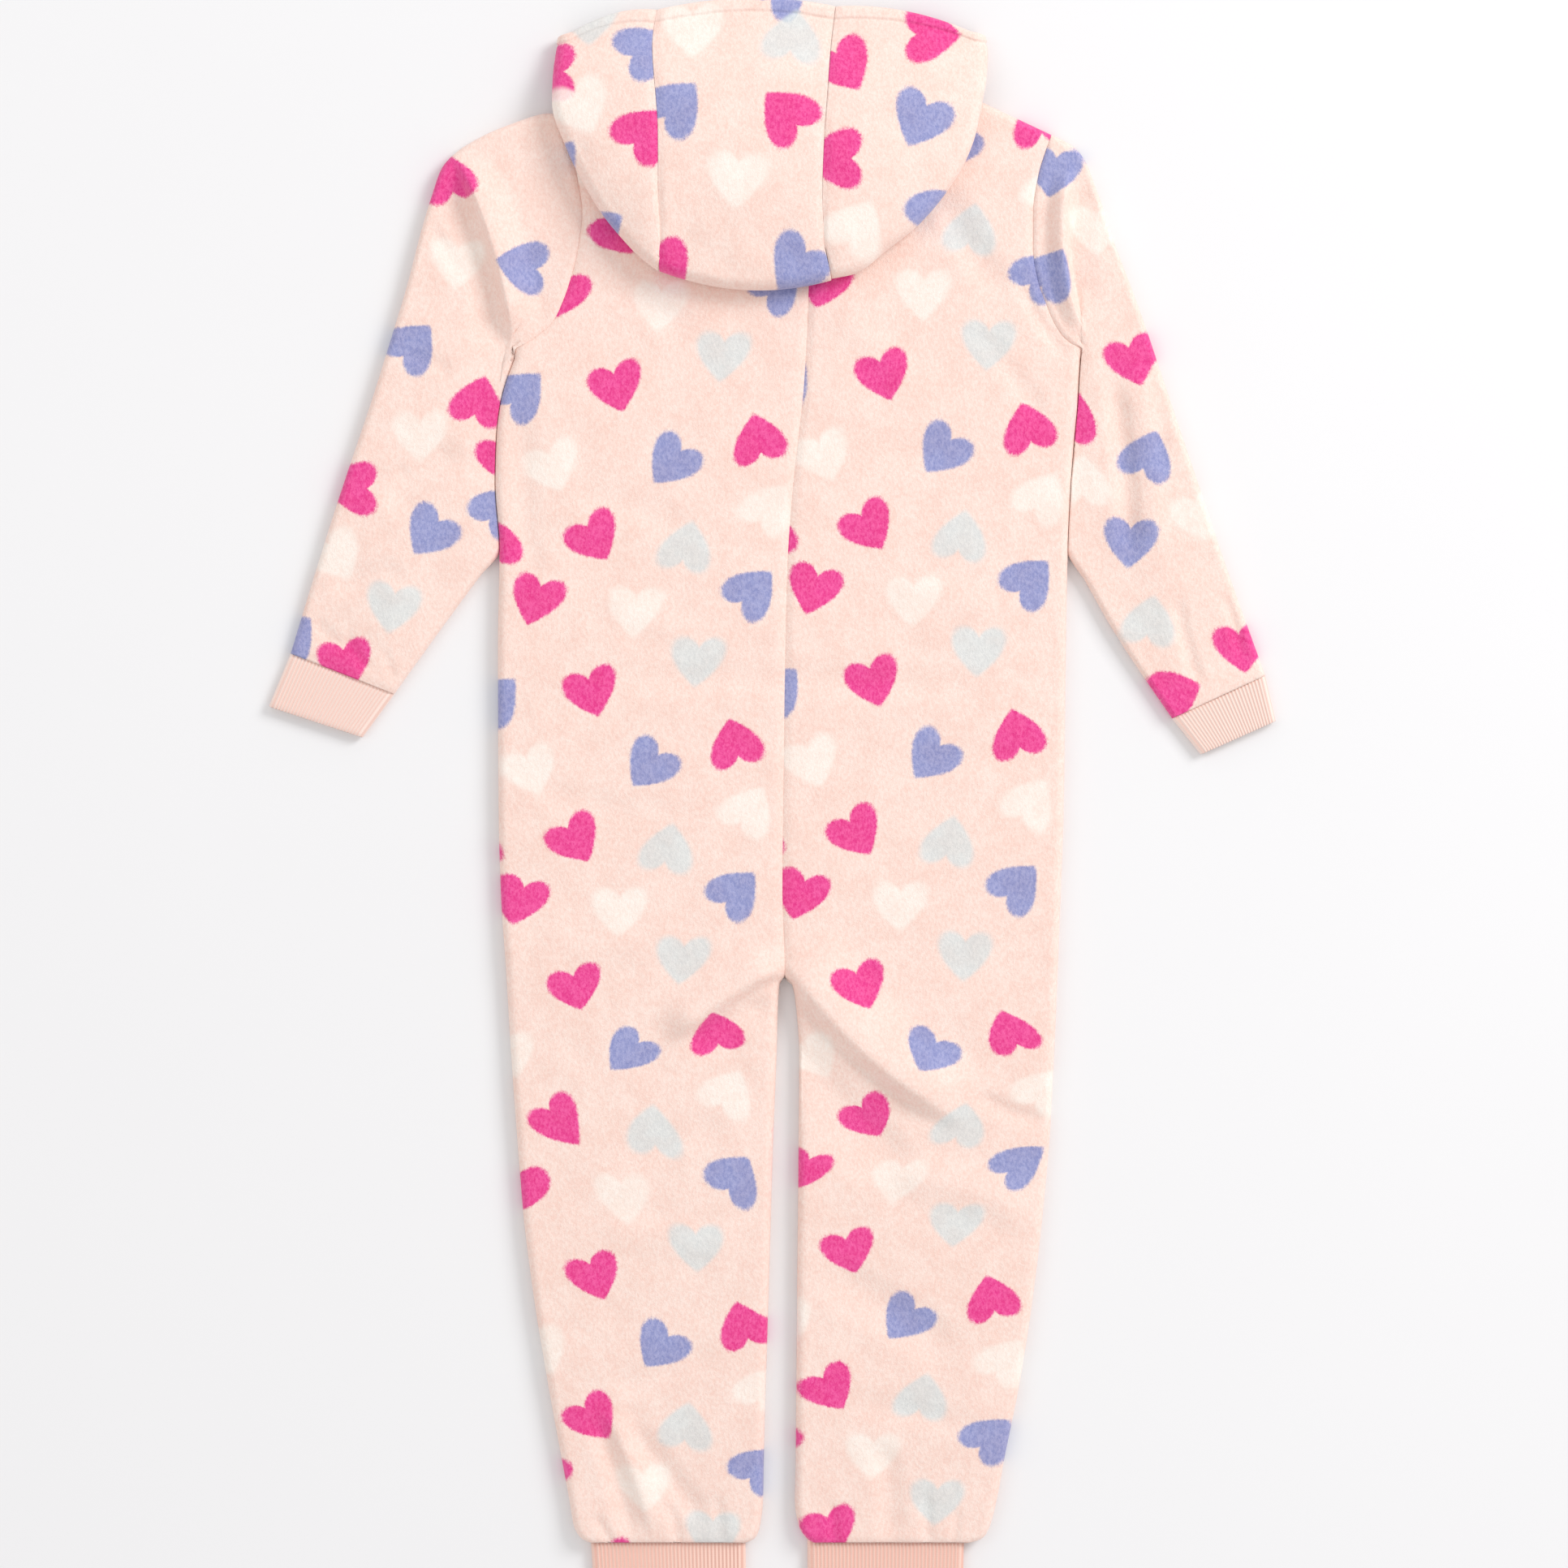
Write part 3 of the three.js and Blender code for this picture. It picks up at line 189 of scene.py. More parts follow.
FLEECE = 4.0  # thickness of the cloth with its pile
LOFT = 12.0  # height of the two layers that lie on each other
SEAM = 0.05  # gap at the centre back seam, from which the gaps at other seams come
SEAM_DIP = 0.32  # share of its height that the cloth loses beside a seam, and in the seam's line
SEAM_LINE = 0.2
SEAM_WIDTH = 6.0  # how far from a seam the dip reaches, and its line
LINE_WIDTH = 1.6
HEM_DROP = 0.38  # share of its height that the cloth loses at the hem
HEM = 47.0
CROTCH = 432.0
CROTCH_JOIN = (424, 434)  # heights between which the two inseams become one centre seam
UNDERARM = 855.0
UNDERARM_JOIN = (849, 857)  # heights between which the side's rolled edge becomes a seam
NECKLINE = 1040.0
NECK_FROM = 900.0  # height from which the rows rise towards the neck point, and by how much
NECK_RISE = 24.0
ZIP_BOTTOM = 470.0
ZIP_SLOT = 4.6  # half the slot between the fronts, for the zip
SIDES = {  # sign across, height of the shoulder's end, the neck point
    "left": (-1, 1015.0, -70.0),
    "right": (1, 1000.5, 75.0),
}
OUTLINE = [  # height, left edge, right edge
    (45, -126, 122), (47, -131, 129), (50, -137, 137.5), (57, -141, 141.5), (74, -144, 146),
    (101, -149, 151), (156, -159, 162), (211, -168, 170.5), (266, -175, 177), (321, -179.5, 182),
    (376, -183.5, 185), (434, -187, 187.5), (486, -190.5, 189.5), (541, -192, 191.5), (651, -192.5, 193),
    (719, -191.5, 194.3), (764, -194.4, 196.4), (796, -193.5, 199), (817, -191, 201), (834, -186.5, 202),
    (848, -181.5, 203), (855, -180, 203.5), (858, -173, 197), (863, -166, 191), (873, -155, 184.5),
    (886, -148.5, 179), (900, -143.5, 174), (922, -138, 170.5), (946, -135, 170.5), (972, -138.5, 174),
    (1000.5, -146.5, 183), (1015, -149, 187),
]
INNER = [  # height, left inseam, right inseam, which are one centre seam from the crotch up
    (45, -28, 26), (47, -23, 20), (50, -17, 16), (57, -14.5, 11.5), (74, -12.5, 9), (101, -12, 9.5),
    (211, -8.8, 10.5), (321, -5.5, 11.6), (376, -3.3, 12), (412, -2.2, 9.5), (426, -1, 6.5),
    (432, 2.2, 2.2), (434, 2.2, 2.2), (486, 0.6, 0.6), (541, 1.1, 1.1), (651, 2.6, 2.6), (706, 3.9, 3.9),
    (764, 8, 8), (834, 15.5, 15.5), (885, 18, 18), (1040, 22, 22),
]
CREASES = [  # from x, y to x, y, bow to the left, width on its left and right, rise
    (-222, 990, -180, 850, 7, 24, 7, 11.5), (-228, 976, -192, 846, 7, 8, 20, -3.2),
    (196, 984, 207, 856, -11, 6, 12, 8), (207, 975, 206, 874, -8, 18, 7, -2.8),
    (-2, 450, 132, 328, -13, 44, 13, 11), (2, 400, 98, 288, -8, 20, 36, -3.2),
    (8, 442, -80, 384, -3, 9, 26, 8), (-4, 416, -64, 376, -3, 17, 9, -2.8),
    (-130, 138, -100, 42, 3, 9, 12, -3.2), (-118, 140, -84, 44, 2, 14, 8, 3.4),
    (-106, 128, -46, 52, 0, 14, 12, -2.6), (22, 232, 124, 168, 4, 20, 26, -2.6),
    (60, 300, 178, 262, 6, 22, 22, 2.6), (128, 352, 184, 330, -3, 9, 12, -2),
    (66, 120, 74, 42, 3, 14, 14, -2.4), (108, 968, 152, 886, -4, 18, 16, -2.4),
    (160, 902, 196, 848, -3, 8, 9, -2), (222, 846, 236, 702, 3, 11, 12, -3.6),
    (240, 852, 254, 706, 2, 13, 13, 2.2), (268, 690, 286, 622, -3, 8, 8, -2),
    (-268, 742, -214, 790, 5, 16, 20, -2.4), (-308, 690, -252, 704, 3, 14, 14, -2),
    (-150, 628, 150, 624, 5, 16, 16, -1.2), (-176, 820, -168, 690, -3, 14, 12, -1.8),
    # finer creases that only the cloth has
    (-128, 66, -112, 40, 0, 6, 6, -1.6), (-76, 74, -70, 40, 1, 7, 7, -1.6),
    (-44, 80, -40, 42, 0, 7, 7, -1.4), (34, 76, 36, 42, 0, 6, 7, -1.4), (98, 84, 100, 42, -1, 7, 6, -1.6),
    (120, 70, 116, 42, 0, 5, 6, -1.2), (-60, 470, -150, 440, 4, 20, 20, 1.2),
    (-170, 560, -90, 540, -4, 16, 16, -1), (60, 560, 170, 580, 5, 18, 16, -1),
    (-30, 330, -120, 300, -4, 18, 18, -1.1), (-20, 250, -130, 262, 5, 18, 18, 1.1),
    (-40, 180, -120, 150, 4, 14, 16, -1.2), (40, 140, 140, 120, 3, 14, 14, -1.2),
    (-120, 900, -60, 860, 4, 16, 16, -1.2), (60, 780, 160, 800, -4, 20, 18, -1),
    (-150, 760, -60, 730, 4, 20, 18, -1), (130, 870, 180, 800, 3, 12, 12, -1.4),
    (30, 880, 90, 830, 3, 16, 16, 1), (-130, 690, -60, 660, -3, 18, 16, 0.9),
    (70, 700, 150, 670, 3, 18, 16, 0.9), (-240, 940, -216, 900, 2, 8, 9, -1.2),
    (-258, 850, -222, 838, 2, 9, 9, -1.2), (-282, 760, -250, 772, 2, 10, 9, -1.2),
    (-318, 672, -290, 648, -2, 7, 7, -1.5), (-296, 664, -278, 636, -2, 6, 7, -1.4),
    (-270, 652, -262, 628, 0, 5, 5, -1), (300, 690, 312, 640, 2, 7, 7, -1.4),
    (216, 930, 236, 900, 2, 9, 9, -1.1), (262, 800, 240, 770, 3, 9, 9, -1.1),
    (296, 720, 270, 700, 2, 8, 8, -1.2),
]
CREASE_FADE = 0.25  # share of a crease's length over which each end fades
DEEPEST = -3.2  # deepest that a crease presses the upper layer towards the lower one
FREE = 8.2  # level of the upper layer's middle below which nothing is pressed down


def between(low, high, share):
    return low + (high - low) * share


def smooth(share):
    """S-curve from 0 to 1: three times the square less twice the cube."""
    share = np.clip(share, 0, 1)
    return share * share * (3 - 2 * share)


def step_over(value, limits):
    """S-curve from 0 to 1 between two limits."""
    return smooth((value - limits[0]) / (limits[1] - limits[0]))


def through(table, at):
    """A table's columns at any value of its first: cubic pieces whose slope at each row is the
    harmonic mean of the slopes beside it, or none where those turn, so they never overshoot."""
    table = np.asarray(table, float)
    key, value = table[:, 0], table[:, 1:]
    span = np.diff(key)[:, None]
    slope = np.diff(value, axis=0) / span
    before, after = slope[:-1], slope[1:]
    both = np.where(before * after > 0, before + after, 1)
    mean = np.where(before * after > 0, 2 * before * after / both, 0)
    tangent = np.vstack([slope[:1], mean, slope[-1:]])
    at = np.clip(at, key[0], key[-1])
    row = np.clip(np.searchsorted(key, at) - 1, 0, len(key) - 2)
    t = ((at - key[row]) / span[row, 0])[..., None]
    a, b = value[row], value[row + 1]
    ta, tb = tangent[row] * span[row], tangent[row + 1] * span[row]
    return a + t * (ta + t * (3 * (b - a) - 2 * ta - tb + t * (2 * (a - b) + ta + tb)))


def edge_of(table, side, y):
    return through(table, y)[..., 0 if side == "left" else 1]


def rolled(distance, radius):
    """Share of its full height that cloth has near a rolled edge: a quarter circle."""
    return np.sqrt(1 - (1 - np.clip(distance / radius, 0, 1)) ** 2)


def creased(x, y):
    """Sum of the creases: each rises by an S-curve towards its bowed crest and fades at both ends."""
    rise = np.zeros(np.shape(x))
    for x0, y0, x1, y1, bow, left, right, high in CREASES:
        length = np.hypot(x1 - x0, y1 - y0)
        ux, uy = (x1 - x0) / length, (y1 - y0) / length
        share = np.clip(((x - x0) * ux + (y - y0) * uy) / length, 0, 1)
        off = (y - y0) * ux - (x - x0) * uy - bow * 4 * share * (1 - share)
        near = 1 - np.abs(off) / np.where(off > 0, left, right)
        rise += high * smooth(near) * smooth(share / CREASE_FADE) * smooth((1 - share) / CREASE_FADE)
    return rise


def uneven(x, y, size):
    """Slow unevenness from -1 to 1: seeded random heights on a lattice, joined by S-curves."""
    lattice = np.random.default_rng(int(size)).uniform(-1, 1, (97, 97))
    u, v = x / size + 40, y / size + 20
    i, j = np.floor(u).astype(int) % 96, np.floor(v).astype(int) % 96
    a, b = smooth(u % 1), smooth(v % 1)
    low = between(lattice[i, j], lattice[i + 1, j], a)
    return between(low, between(lattice[i, j + 1], lattice[i + 1, j + 1], a), b)


def relief(x, y):
    """Creases and the slight unevenness of cloth that lies loose."""
    return creased(x, y) + 0.5 * uneven(x, y, 41) + 0.28 * uneven(x, y, 17) + 0.12 * uneven(x, y, 7)


def unit(vectors):
    return vectors / np.maximum(np.linalg.norm(vectors, axis=-1, keepdims=True), 1e-9)


def facing(grid, closed=False):
    """Unit normals of a grid of points: the cross product of its slopes along and across."""
    if closed:
        along = np.roll(grid, -1, 0) - np.roll(grid, 1, 0)
    else:
        along = np.gradient(grid, axis=0)
    return unit(np.cross(along, np.gradient(grid, axis=1)))


def turned_up(normals, row, column, up=1):
    """Normals turned so that the one at a row and column points up, or down where up is -1."""
    return -normals if normals[row, column, 2] * up < 0 else normals


def squared(normals, direction):
    """Normals with their part along a direction taken out, so that a wall ends square to it."""
    return unit(normals - (normals * direction).sum(-1, keepdims=True) * direction)


def beside(line):
    """Horizontal unit directions square to a line of points."""
    step = np.gradient(line, axis=0)
    return unit(np.stack([step[:, 1], -step[:, 0], np.zeros(len(line))], -1))


def cloth(name, outside, inside, chart, finish, closed=False):
    """A closed wall of cloth between two grids of points, whose last row may join its first, with
    the print's own coordinates as its UV map. Its faces are turned outwards by its volume's sign."""
    rows, columns = outside.shape[:2]
    index = np.arange(rows * columns).reshape(rows, columns)
    if closed:
        index = np.vstack([index, index[:1]])
    far = index + rows * columns
    quads = [
        (index[:-1, :-1], index[1:, :-1], index[1:, 1:], index[:-1, 1:]),
        (far[:-1, :-1], far[:-1, 1:], far[1:, 1:], far[1:, :-1]),
        (index[:-1, 0], far[:-1, 0], far[1:, 0], index[1:, 0]),
        (index[:-1, -1], index[1:, -1], far[1:, -1], far[:-1, -1]),
    ]
    if not closed:
        quads.append((index[0, :-1], index[0, 1:], far[0, 1:], far[0, :-1]))
        quads.append((index[-1, :-1], far[-1, :-1], far[-1, 1:], index[-1, 1:]))
    faces = np.concatenate([np.stack(quad, -1).reshape(-1, 4) for quad in quads])
    points = place(np.concatenate([outside.reshape(-1, 3), inside.reshape(-1, 3)]))
    a, b, c, d = (points[faces[:, k]] for k in range(4))
    volume = (a * (np.cross(b, c) + np.cross(c, d))).sum()
    if volume < 0:
        faces = faces[:, ::-1]
    mesh = bpy.data.meshes.new(name)
    mesh.from_pydata(points.tolist(), [], faces.tolist())
    mesh.polygons.foreach_set("use_smooth", np.ones(len(faces), bool))
    where = np.concatenate([chart.reshape(-1, 2)] * 2)
    mesh.uv_layers.new(name="chart").uv.foreach_set("vector", where[faces.ravel()].ravel())
    mesh.materials.append(finish)
    piece = bpy.data.objects.new(name, mesh)
    bpy.context.collection.objects.link(piece)
    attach(piece, "garment")
    return piece


HEART = 18.4  # half a heart's width
HOOD_HEART = 20.4  # the same on the hood, whose cloth comes from a larger stretch of the print
INKS = {  # swatch on top of the pile, swatch lower in the pile darkened as painted shade, strength, softness of the edge
    "pink": (shade(246, 92, 166), shade(228, 44, 136), 0.97, 0.085),
    "purple": (shade(166, 170, 214), shade(132, 142, 196), 0.95, 0.09),
    "white": (shade(254, 246, 238), shade(250, 236, 226), 0.8, 0.17),
    "mint": (shade(226, 231, 230), shade(212, 221, 222), 0.8, 0.15),
}
# The ground's colour on top of the pile, and the same darkened as painted shade lower in the pile
GROUND = shade(252, 230, 220)
GROUND_SHADED = shade(247, 214, 202)
REPEAT = (225.0, 207.35)
PRINT = [  # ink, place across and up in the repeat, direction of the tip in degrees
    ("pink", 0, 0, -72), ("pink", 97.4, -30.3, 105), ("purple", 39.1, -50.6, -127),
    ("white", -38.5, -54.5, -68), ("white", 110.6, -77, 60), ("pink", -6, -102.3, -56),
    ("mint", 55.6, -103.4, 81), ("pink", -44, -144.7, -105), ("purple", 104.5, -134.2, 48),
    ("white", 24.2, -152.4, -90), ("mint", 69.3, -186.5, -92), ("purple", -63.3, 0, 48),
    ("pink", 150, -101, 100),
]
PRINT_ROWS = {  # height of the print's first heart in each repeat, repeats up, its place across
    "left": [(-165, -5, -103.5), (29.7, -4, -114.4), (223.9, -3, -125.4), (417.5, -2, -136.4),
             (619.6, -1, -128.2), (826.4, 0, -111.1), (1034, 1, -94), (1242, 2, -77)],
    "right": [(-137, -5, 22), (52.3, -4, 34.1), (241.5, -3, 46.2), (420.2, -2, 53.4), (626.5, -1, 63),
              (834.1, 0, 69.9), (1041.7, 1, 76.5), (1249, 2, 83)],
}

PRINT_PULL = {"left": (350, 55, -13, 8), "right": (338, 48, 17, 0)}  # height, spread, across, up
HEART_SOCKETS = [("Chart", "Vector"), ("Place", "Vector"), ("Repeat", "Vector"), ("Half", "Vector"),
                 ("Turn", "Float"), ("Size", "Float")]
HEART_TIP = 0.8  # how far below its middle a heart's tip is blunted, in half widths


def heart_group():
    """Node group for one printed heart. Its field is 0 on the heart's edge and -1 at its middle: the
    distance from the middle, once y is lowered by the root of the distance across, less 1. That
    distance is rounded off near 0, and a soft maximum with a straight line blunts the tip."""
    group = bpy.data.node_groups.new("printed_heart", "ShaderNodeTree")
    for name, kind in HEART_SOCKETS:
        group.interface.new_socket(name, in_out="INPUT", socket_type="NodeSocket" + kind)
    group.interface.new_socket("Field", in_out="OUTPUT", socket_type="NodeSocketFloat")
    tree = Finish(group)
    source = tree.node("NodeGroupInput").socket.node
    chart, middle, repeat, half, turn, size = (Wire(tree, source.outputs[name]) for name, _ in HEART_SOCKETS)
    off = tree.vector_math("SUBTRACT", chart, middle)
    low = tree.vector_math("SUBTRACT", half, repeat)
    near = tree.vector_math("WRAP", off, half, low)
    turned = tree.node("ShaderNodeVectorRotate", {"rotation_type": "Z_AXIS"}, {"Vector": near, "Angle": turn})
    scaled = tree.node("ShaderNodeVectorMath", {"operation": "SCALE"}, {0: turned, "Scale": size})
    side, up = tree.parts(scaled)
    across = (side * side + 0.001) ** 0.5
    lifted = 1.25 * up + 0.34 - 1.06 * across ** 0.5
    field = (across * across + lifted * lifted) ** 0.5 - 1
    tree.node("NodeGroupOutput", None, {0: up.math("SMOOTH_MAX", field, -HEART_TIP - up, 0.35)})
    return group


HEART_GROUP = heart_group()


def printed_fleece(name, hearts, repeat=(4000.0, 4000.0), size=HEART):
    """Brushed fleece: pile clumps of 1 to 3 mm in bump and in colour, the colour darker in the pile's low
    spots as painted shade that also mottles its tone, and the hearts' inks with edges that the pile makes
    fuzzy, let into the ground colour."""
    made, tree, shader = material(name, Roughness=0.94, Sheen_Weight=0.35, Sheen_Roughness=0.45,
                                  Specular_IOR_Level=0.15)
    shader.inputs["Sheen Tint"].default_value = (1.0, 0.93, 0.9, 1.0)
    chart = tree.node("ShaderNodeUVMap", {"uv_map": "chart"})
    where = tree.node("ShaderNodeTexCoord", output=3)
    stretch = {"Vector": where, "Scale": (1.0, 0.62, 0.8), "Rotation": (0, 0, 0.2)}
    lie = tree.node("ShaderNodeMapping", None, stretch)
    clumps = tree.noise(lie, 560, 3, 0.65)
    fibres = tree.noise(lie, 1900, 2, 0.65)
    patches = tree.noise(where, 55, 3, 0.55)
    fuzz = 0.16 * (clumps - 0.5) + 0.2 * (fibres - 0.5)
    # Painted shade: the colour is darker where the pile's noise is low, where shade falls in the pile, and
    # this also mottles the tone
    pile_shade = tree.ramp(0.65 * clumps + 0.35 * fibres, 0.36, 0.64)
    colour = tree.blend(pile_shade, GROUND_SHADED, GROUND)
    half = (repeat[0] / 2, repeat[1] / 2, 0)
    for ink, (top, under, strength, softness) in INKS.items():
        field = None
        for kind, x, y, tip in hearts:
            if kind != ink:
                continue
            sockets = {"Chart": chart, "Place": (x, y, 0), "Repeat": (*repeat, 1), "Half": half,
                       "Turn": -np.radians(tip + 90), "Size": 1 / size}
            heart = tree.node("ShaderNodeGroup", {"node_tree": HEART_GROUP}, sockets)
            field = heart if field is None else heart.math("MINIMUM", field, heart)
        if field is not None:
            dyed = strength * tree.ramp(field + fuzz, softness, -softness)
            # The inks take the same painted shade in the pile's low spots
            colour = tree.blend(dyed, colour, tree.blend(pile_shade, under, top))
    colour = tree.blend(0.12 * tree.ramp(patches, 0.35, 0.68), colour, shade(236, 190, 174), "MULTIPLY")
    pile = 0.8 * clumps + 0.5 * fibres + 1.2 * patches
    bump = tree.node("ShaderNodeBump", None, {"Strength": 0.5, "Distance": 0.0012, "Height": pile})
    feed(tree, shader, Base_Color=colour, Normal=bump)
    return made


def body_levels(step):
    """Heights of the rows from hem to underarm, closer at the hem, crotch and underarm."""
    hem = HEM + np.array([0, 0.15, 0.6, 1.3, 2.3, 3.6, 5.4])
    legs = np.arange(HEM + 8, CROTCH - 22, step)
    crotch = np.arange(CROTCH - 20, CROTCH + 12, step / 2)
    trunk = np.arange(CROTCH + 14, UNDERARM - 14, step)
    underarm = np.linspace(UNDERARM - 12, UNDERARM - 6, 5)
    return np.concatenate([hem, legs, crotch, trunk, underarm])


def body_middle(side, face, step, flat):
    """Middle surface of a panel of the upper layer, face 1, or of the lower one, face -1. A row runs
    from the outline to the centre; its height is a rolled edge, or a groove where a seam joins it."""
    sign, shoulder, neck = SIDES[side]
    radius = (LOFT - FLEECE) / 2
    levels = body_levels(step)
    share = np.linspace(0, 1, int(160 / step)) ** 1.25
    top = np.array([6, 5, 4.2, 3.2, 2.7, 2.3, 2.05, 2.0])
    outer = np.concatenate([levels, between(UNDERARM, shoulder - 8, share), shoulder - top])
    inner = np.concatenate([levels, between(UNDERARM + 3, NECKLINE - 8, share), NECKLINE - top])
    armhole = np.arange(len(outer)) >= len(levels)
    seam = step_over(outer, UNDERARM_JOIN)[:, None]
    joined = step_over(inner, CROTCH_JOIN)[:, None]
    outer_x = edge_of(OUTLINE, side, outer)[:, None] - sign * between(FLEECE / 2, 0, seam)
    inset = between(FLEECE / 2, SEAM / 2 if face > 0 else SEAM, joined)
    if face < 0:
        inset = np.where(inner[:, None] > ZIP_BOTTOM - 4, ZIP_SLOT, inset)
    inner_x = edge_of(INNER, side, inner)[:, None] * (1 - joined if face < 0 else 1) + sign * inset
    width = np.abs(outer_x - inner_x)
    steps = radius * (1 - np.cos(np.radians(np.linspace(0, 90, 8))))
    grooves = np.array([0, 0.5, 1.2, 2.1, 3.2, 4.2, 5.1, 6])
    outer_steps = between(steps, grooves, seam)
    inner_steps = between(steps, grooves, joined)
    inside = between(outer_steps[:, -1:], width - inner_steps[:, -1:], np.linspace(0, 1, flat + 2)[1:-1])
    distance = np.hstack([outer_steps, inside, (width - inner_steps)[:, ::-1]])

    def edge_height(off, sewn):
        groove = SEAM_DIP * (1 - smooth(off / SEAM_WIDTH)) + SEAM_LINE * (1 - smooth(off / LINE_WIDTH))
        return between(rolled(off, radius), 1 - groove, sewn)

    middle_height = edge_height(width - distance, joined)
    if face < 0:
        middle_height = np.where(inner[:, None] > CROTCH, 1, middle_height)
    height = edge_height(distance, seam) * middle_height
    height *= rolled(shoulder - FLEECE / 2 - outer, radius)[:, None]
    height *= 1 - HEM_DROP * (1 - rolled(outer - HEM, radius))[:, None]
    near = 1 - distance / width
    neck_share = (neck - inner_x) / (outer_x - inner_x)
    rise = np.where(near < neck_share, smooth(near / neck_share), (1 - near) / (1 - neck_share))
    rise *= NECK_RISE * step_over(inner, (NECK_FROM, NECKLINE))[:, None]
    x = outer_x - sign * distance
    y = between(outer[:, None], inner[:, None], distance / width) + rise
    z = LOFT / 2 + face * (radius * height + SEAM / 2 * (1 - height))
    return np.stack([x, y, z], -1), armhole


def square_ends(middle, armhole):
    """Normals of a body panel, made square to its seams, its hem and the plane where layers meet."""
    normals = facing(middle)
    up, along = np.array([0, 0, 1.0]), np.array([0, 1.0, 0])
    for column, sewn in ((0, armhole), (-1, middle[:, -1, 1] > CROTCH - 2)):
        line = normals[:, column]
        seam = squared(line, beside(middle[:, column]))
        normals[:, column] = np.where(sewn[:, None], seam, squared(line, up))
    normals[0] = squared(normals[0], along)
    normals[-1] = squared(normals[-1], up)
    return normals


def print_chart(side, x, y):
    """Place in the print's repeats: up by the repeats that the cloth's rows show, across from the
    first heart of each repeat, and pulled aside where the seat's folds pull the cloth."""
    rows = np.array(PRINT_ROWS[side])
    height, spread, pulled, lifted = PRINT_PULL[side]
    near = np.exp(-((y - height) / spread) ** 2)
    up = np.interp(y - lifted * near, rows[:, 0], rows[:, 1]) * REPEAT[1]
    return np.stack([x - pulled * near - np.interp(y, rows[:, 0], rows[:, 2]), up], -1)


body_fleece = printed_fleece("printed_fleece_body", PRINT, REPEAT)
for side in SIDES:
    middle, armhole = body_middle(side, 1, 2.6, 66)
    normals = turned_up(square_ends(middle, armhole), len(middle) // 2, 30)
    x, y, z = np.moveaxis(middle, -1, 0)
    rise = relief(x, y)
    share = np.where(rise > 0, np.clip((z - 6) / 4, 0, 1), smooth((z - FREE) / 1.8))
    shift = np.maximum(rise, DEEPEST) * share
    lift = np.stack([np.zeros_like(x), np.zeros_like(x), shift], -1)
    outside = middle + normals * FLEECE / 2 + lift
    inside = middle - normals * FLEECE / 2 + lift
    back = cloth(f"back_panel_{side}", outside, inside, print_chart(side, x, y), body_fleece)
    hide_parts(f"back_{side}")

# Front: the two panels underneath, cut like the back with a lower round neckline, and parted in
# the middle by the zip. They lie flat on the floor.

NECK = (72.0, 64.0, 1050.0)  # half width and depth of the front neckline, and its level
for side in SIDES:
    middle, armhole = body_middle(side, -1, 5.2, 40)
    x, y, z = np.moveaxis(middle, -1, 0)
    rim = NECK[2] - NECK[1] * np.sqrt(np.clip(1 - (x / NECK[0]) ** 2, 0, 1))
    top = y[-1]
    cut = np.where(np.abs(x[-1]) < NECK[0], np.minimum(top, rim[-1] - 0.3), top)
    share = np.clip((y - NECK_FROM) / (top - NECK_FROM), 0, 1)
    y = np.where(y > NECK_FROM, NECK_FROM + share * (cut - NECK_FROM), y)
    middle = np.stack([x, y, z], -1)
    normals = turned_up(square_ends(middle, armhole), len(middle) // 2, 20, -1)
    outside = middle + normals * FLEECE / 2
    inside = middle - normals * FLEECE / 2
    outside[..., 2] = np.maximum(outside[..., 2], 0)
    front = cloth(f"front_panel_{side}", outside, inside, print_chart(side, x, y), body_fleece)
    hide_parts(f"front_{side}")

# Sleeves: one piece of printed fleece each, closed into a tube by the seam under the arm and sewn
# into the armhole. They lie flat beside the body, with a fold of the sleeve cap over the armhole.

SLEEVE_EDGE_LOFT = 9.2  # height of a sleeve's layers at its inner edge and at the wrist
BESIDE = 0.12  # gap between the body's side and a sleeve that lies along it
SLEEVES = {  # stations from armhole to cuff: outer edge x, y, inner edge x, y (no x: beside the body)
    "left": [(-149, 1015, -180, 855), (-160, 1015, None, 848.5), (-186, 1006.5, None, 842),
             (-205, 998, None, 832), (-219, 989.5, None, 817), (-229, 979, None, 800),
             (-236, 960, None, 780), (-243.5, 935, None, 758), (-253, 899, None, 737),
             (-265, 860, None, 719), (-279, 816, -206, 699.5), (-295, 769, -225.5, 673),
             (-313, 714, -243.5, 648), (-333.3, 648.5, -262.9, 621)],
    "right": [(183, 1000.5, 203.5, 855), (189, 997.5, None, 848), (198, 991.5, None, 837),
              (205, 981.5, None, 825), (211, 967, None, 810), (217, 951, None, 793),
              (224.5, 928, None, 775), (233, 906, None, 757), (242, 882, None, 738),
              (254, 847.5, None, 719), (268, 806, 208, 695), (284.5, 757.5, 225.5, 664),
              (303, 703.5, 242.5, 637.5), (328.4, 633.6, 265.1, 604.5)],
}
SLEEVE_HEARTS = {
    "left": [("pink", -226, 973, 105), ("white", -220, 910, -95), ("purple", -178, 911, 170),
             ("purple", -248, 859, 48), ("pink", -205, 822, 75), ("white", -245, 793, -90),
             ("pink", -293, 760, 180), ("purple", -240, 728, -127), ("white", -300, 712, -60),
             ("mint", -264, 677, -100), ("purple", -330, 662, 45), ("pink", -295, 639, -80),
             ("pink", -187, 778, -72), ("purple", -190, 748, 48)],
    "right": [("purple", 184, 972, -100), ("purple", 183, 908, 60), ("white", 213, 933, -90),
              ("pink", 239, 844, -72), ("pink", 198, 811, 75), ("purple", 249, 785, 70),
              ("white", 204, 768, 90), ("white", 284, 739, -70), ("purple", 236, 721, -95),
              ("mint", 250, 673, 80), ("pink", 312, 650, -80), ("pink", 270, 622, 20)],
}


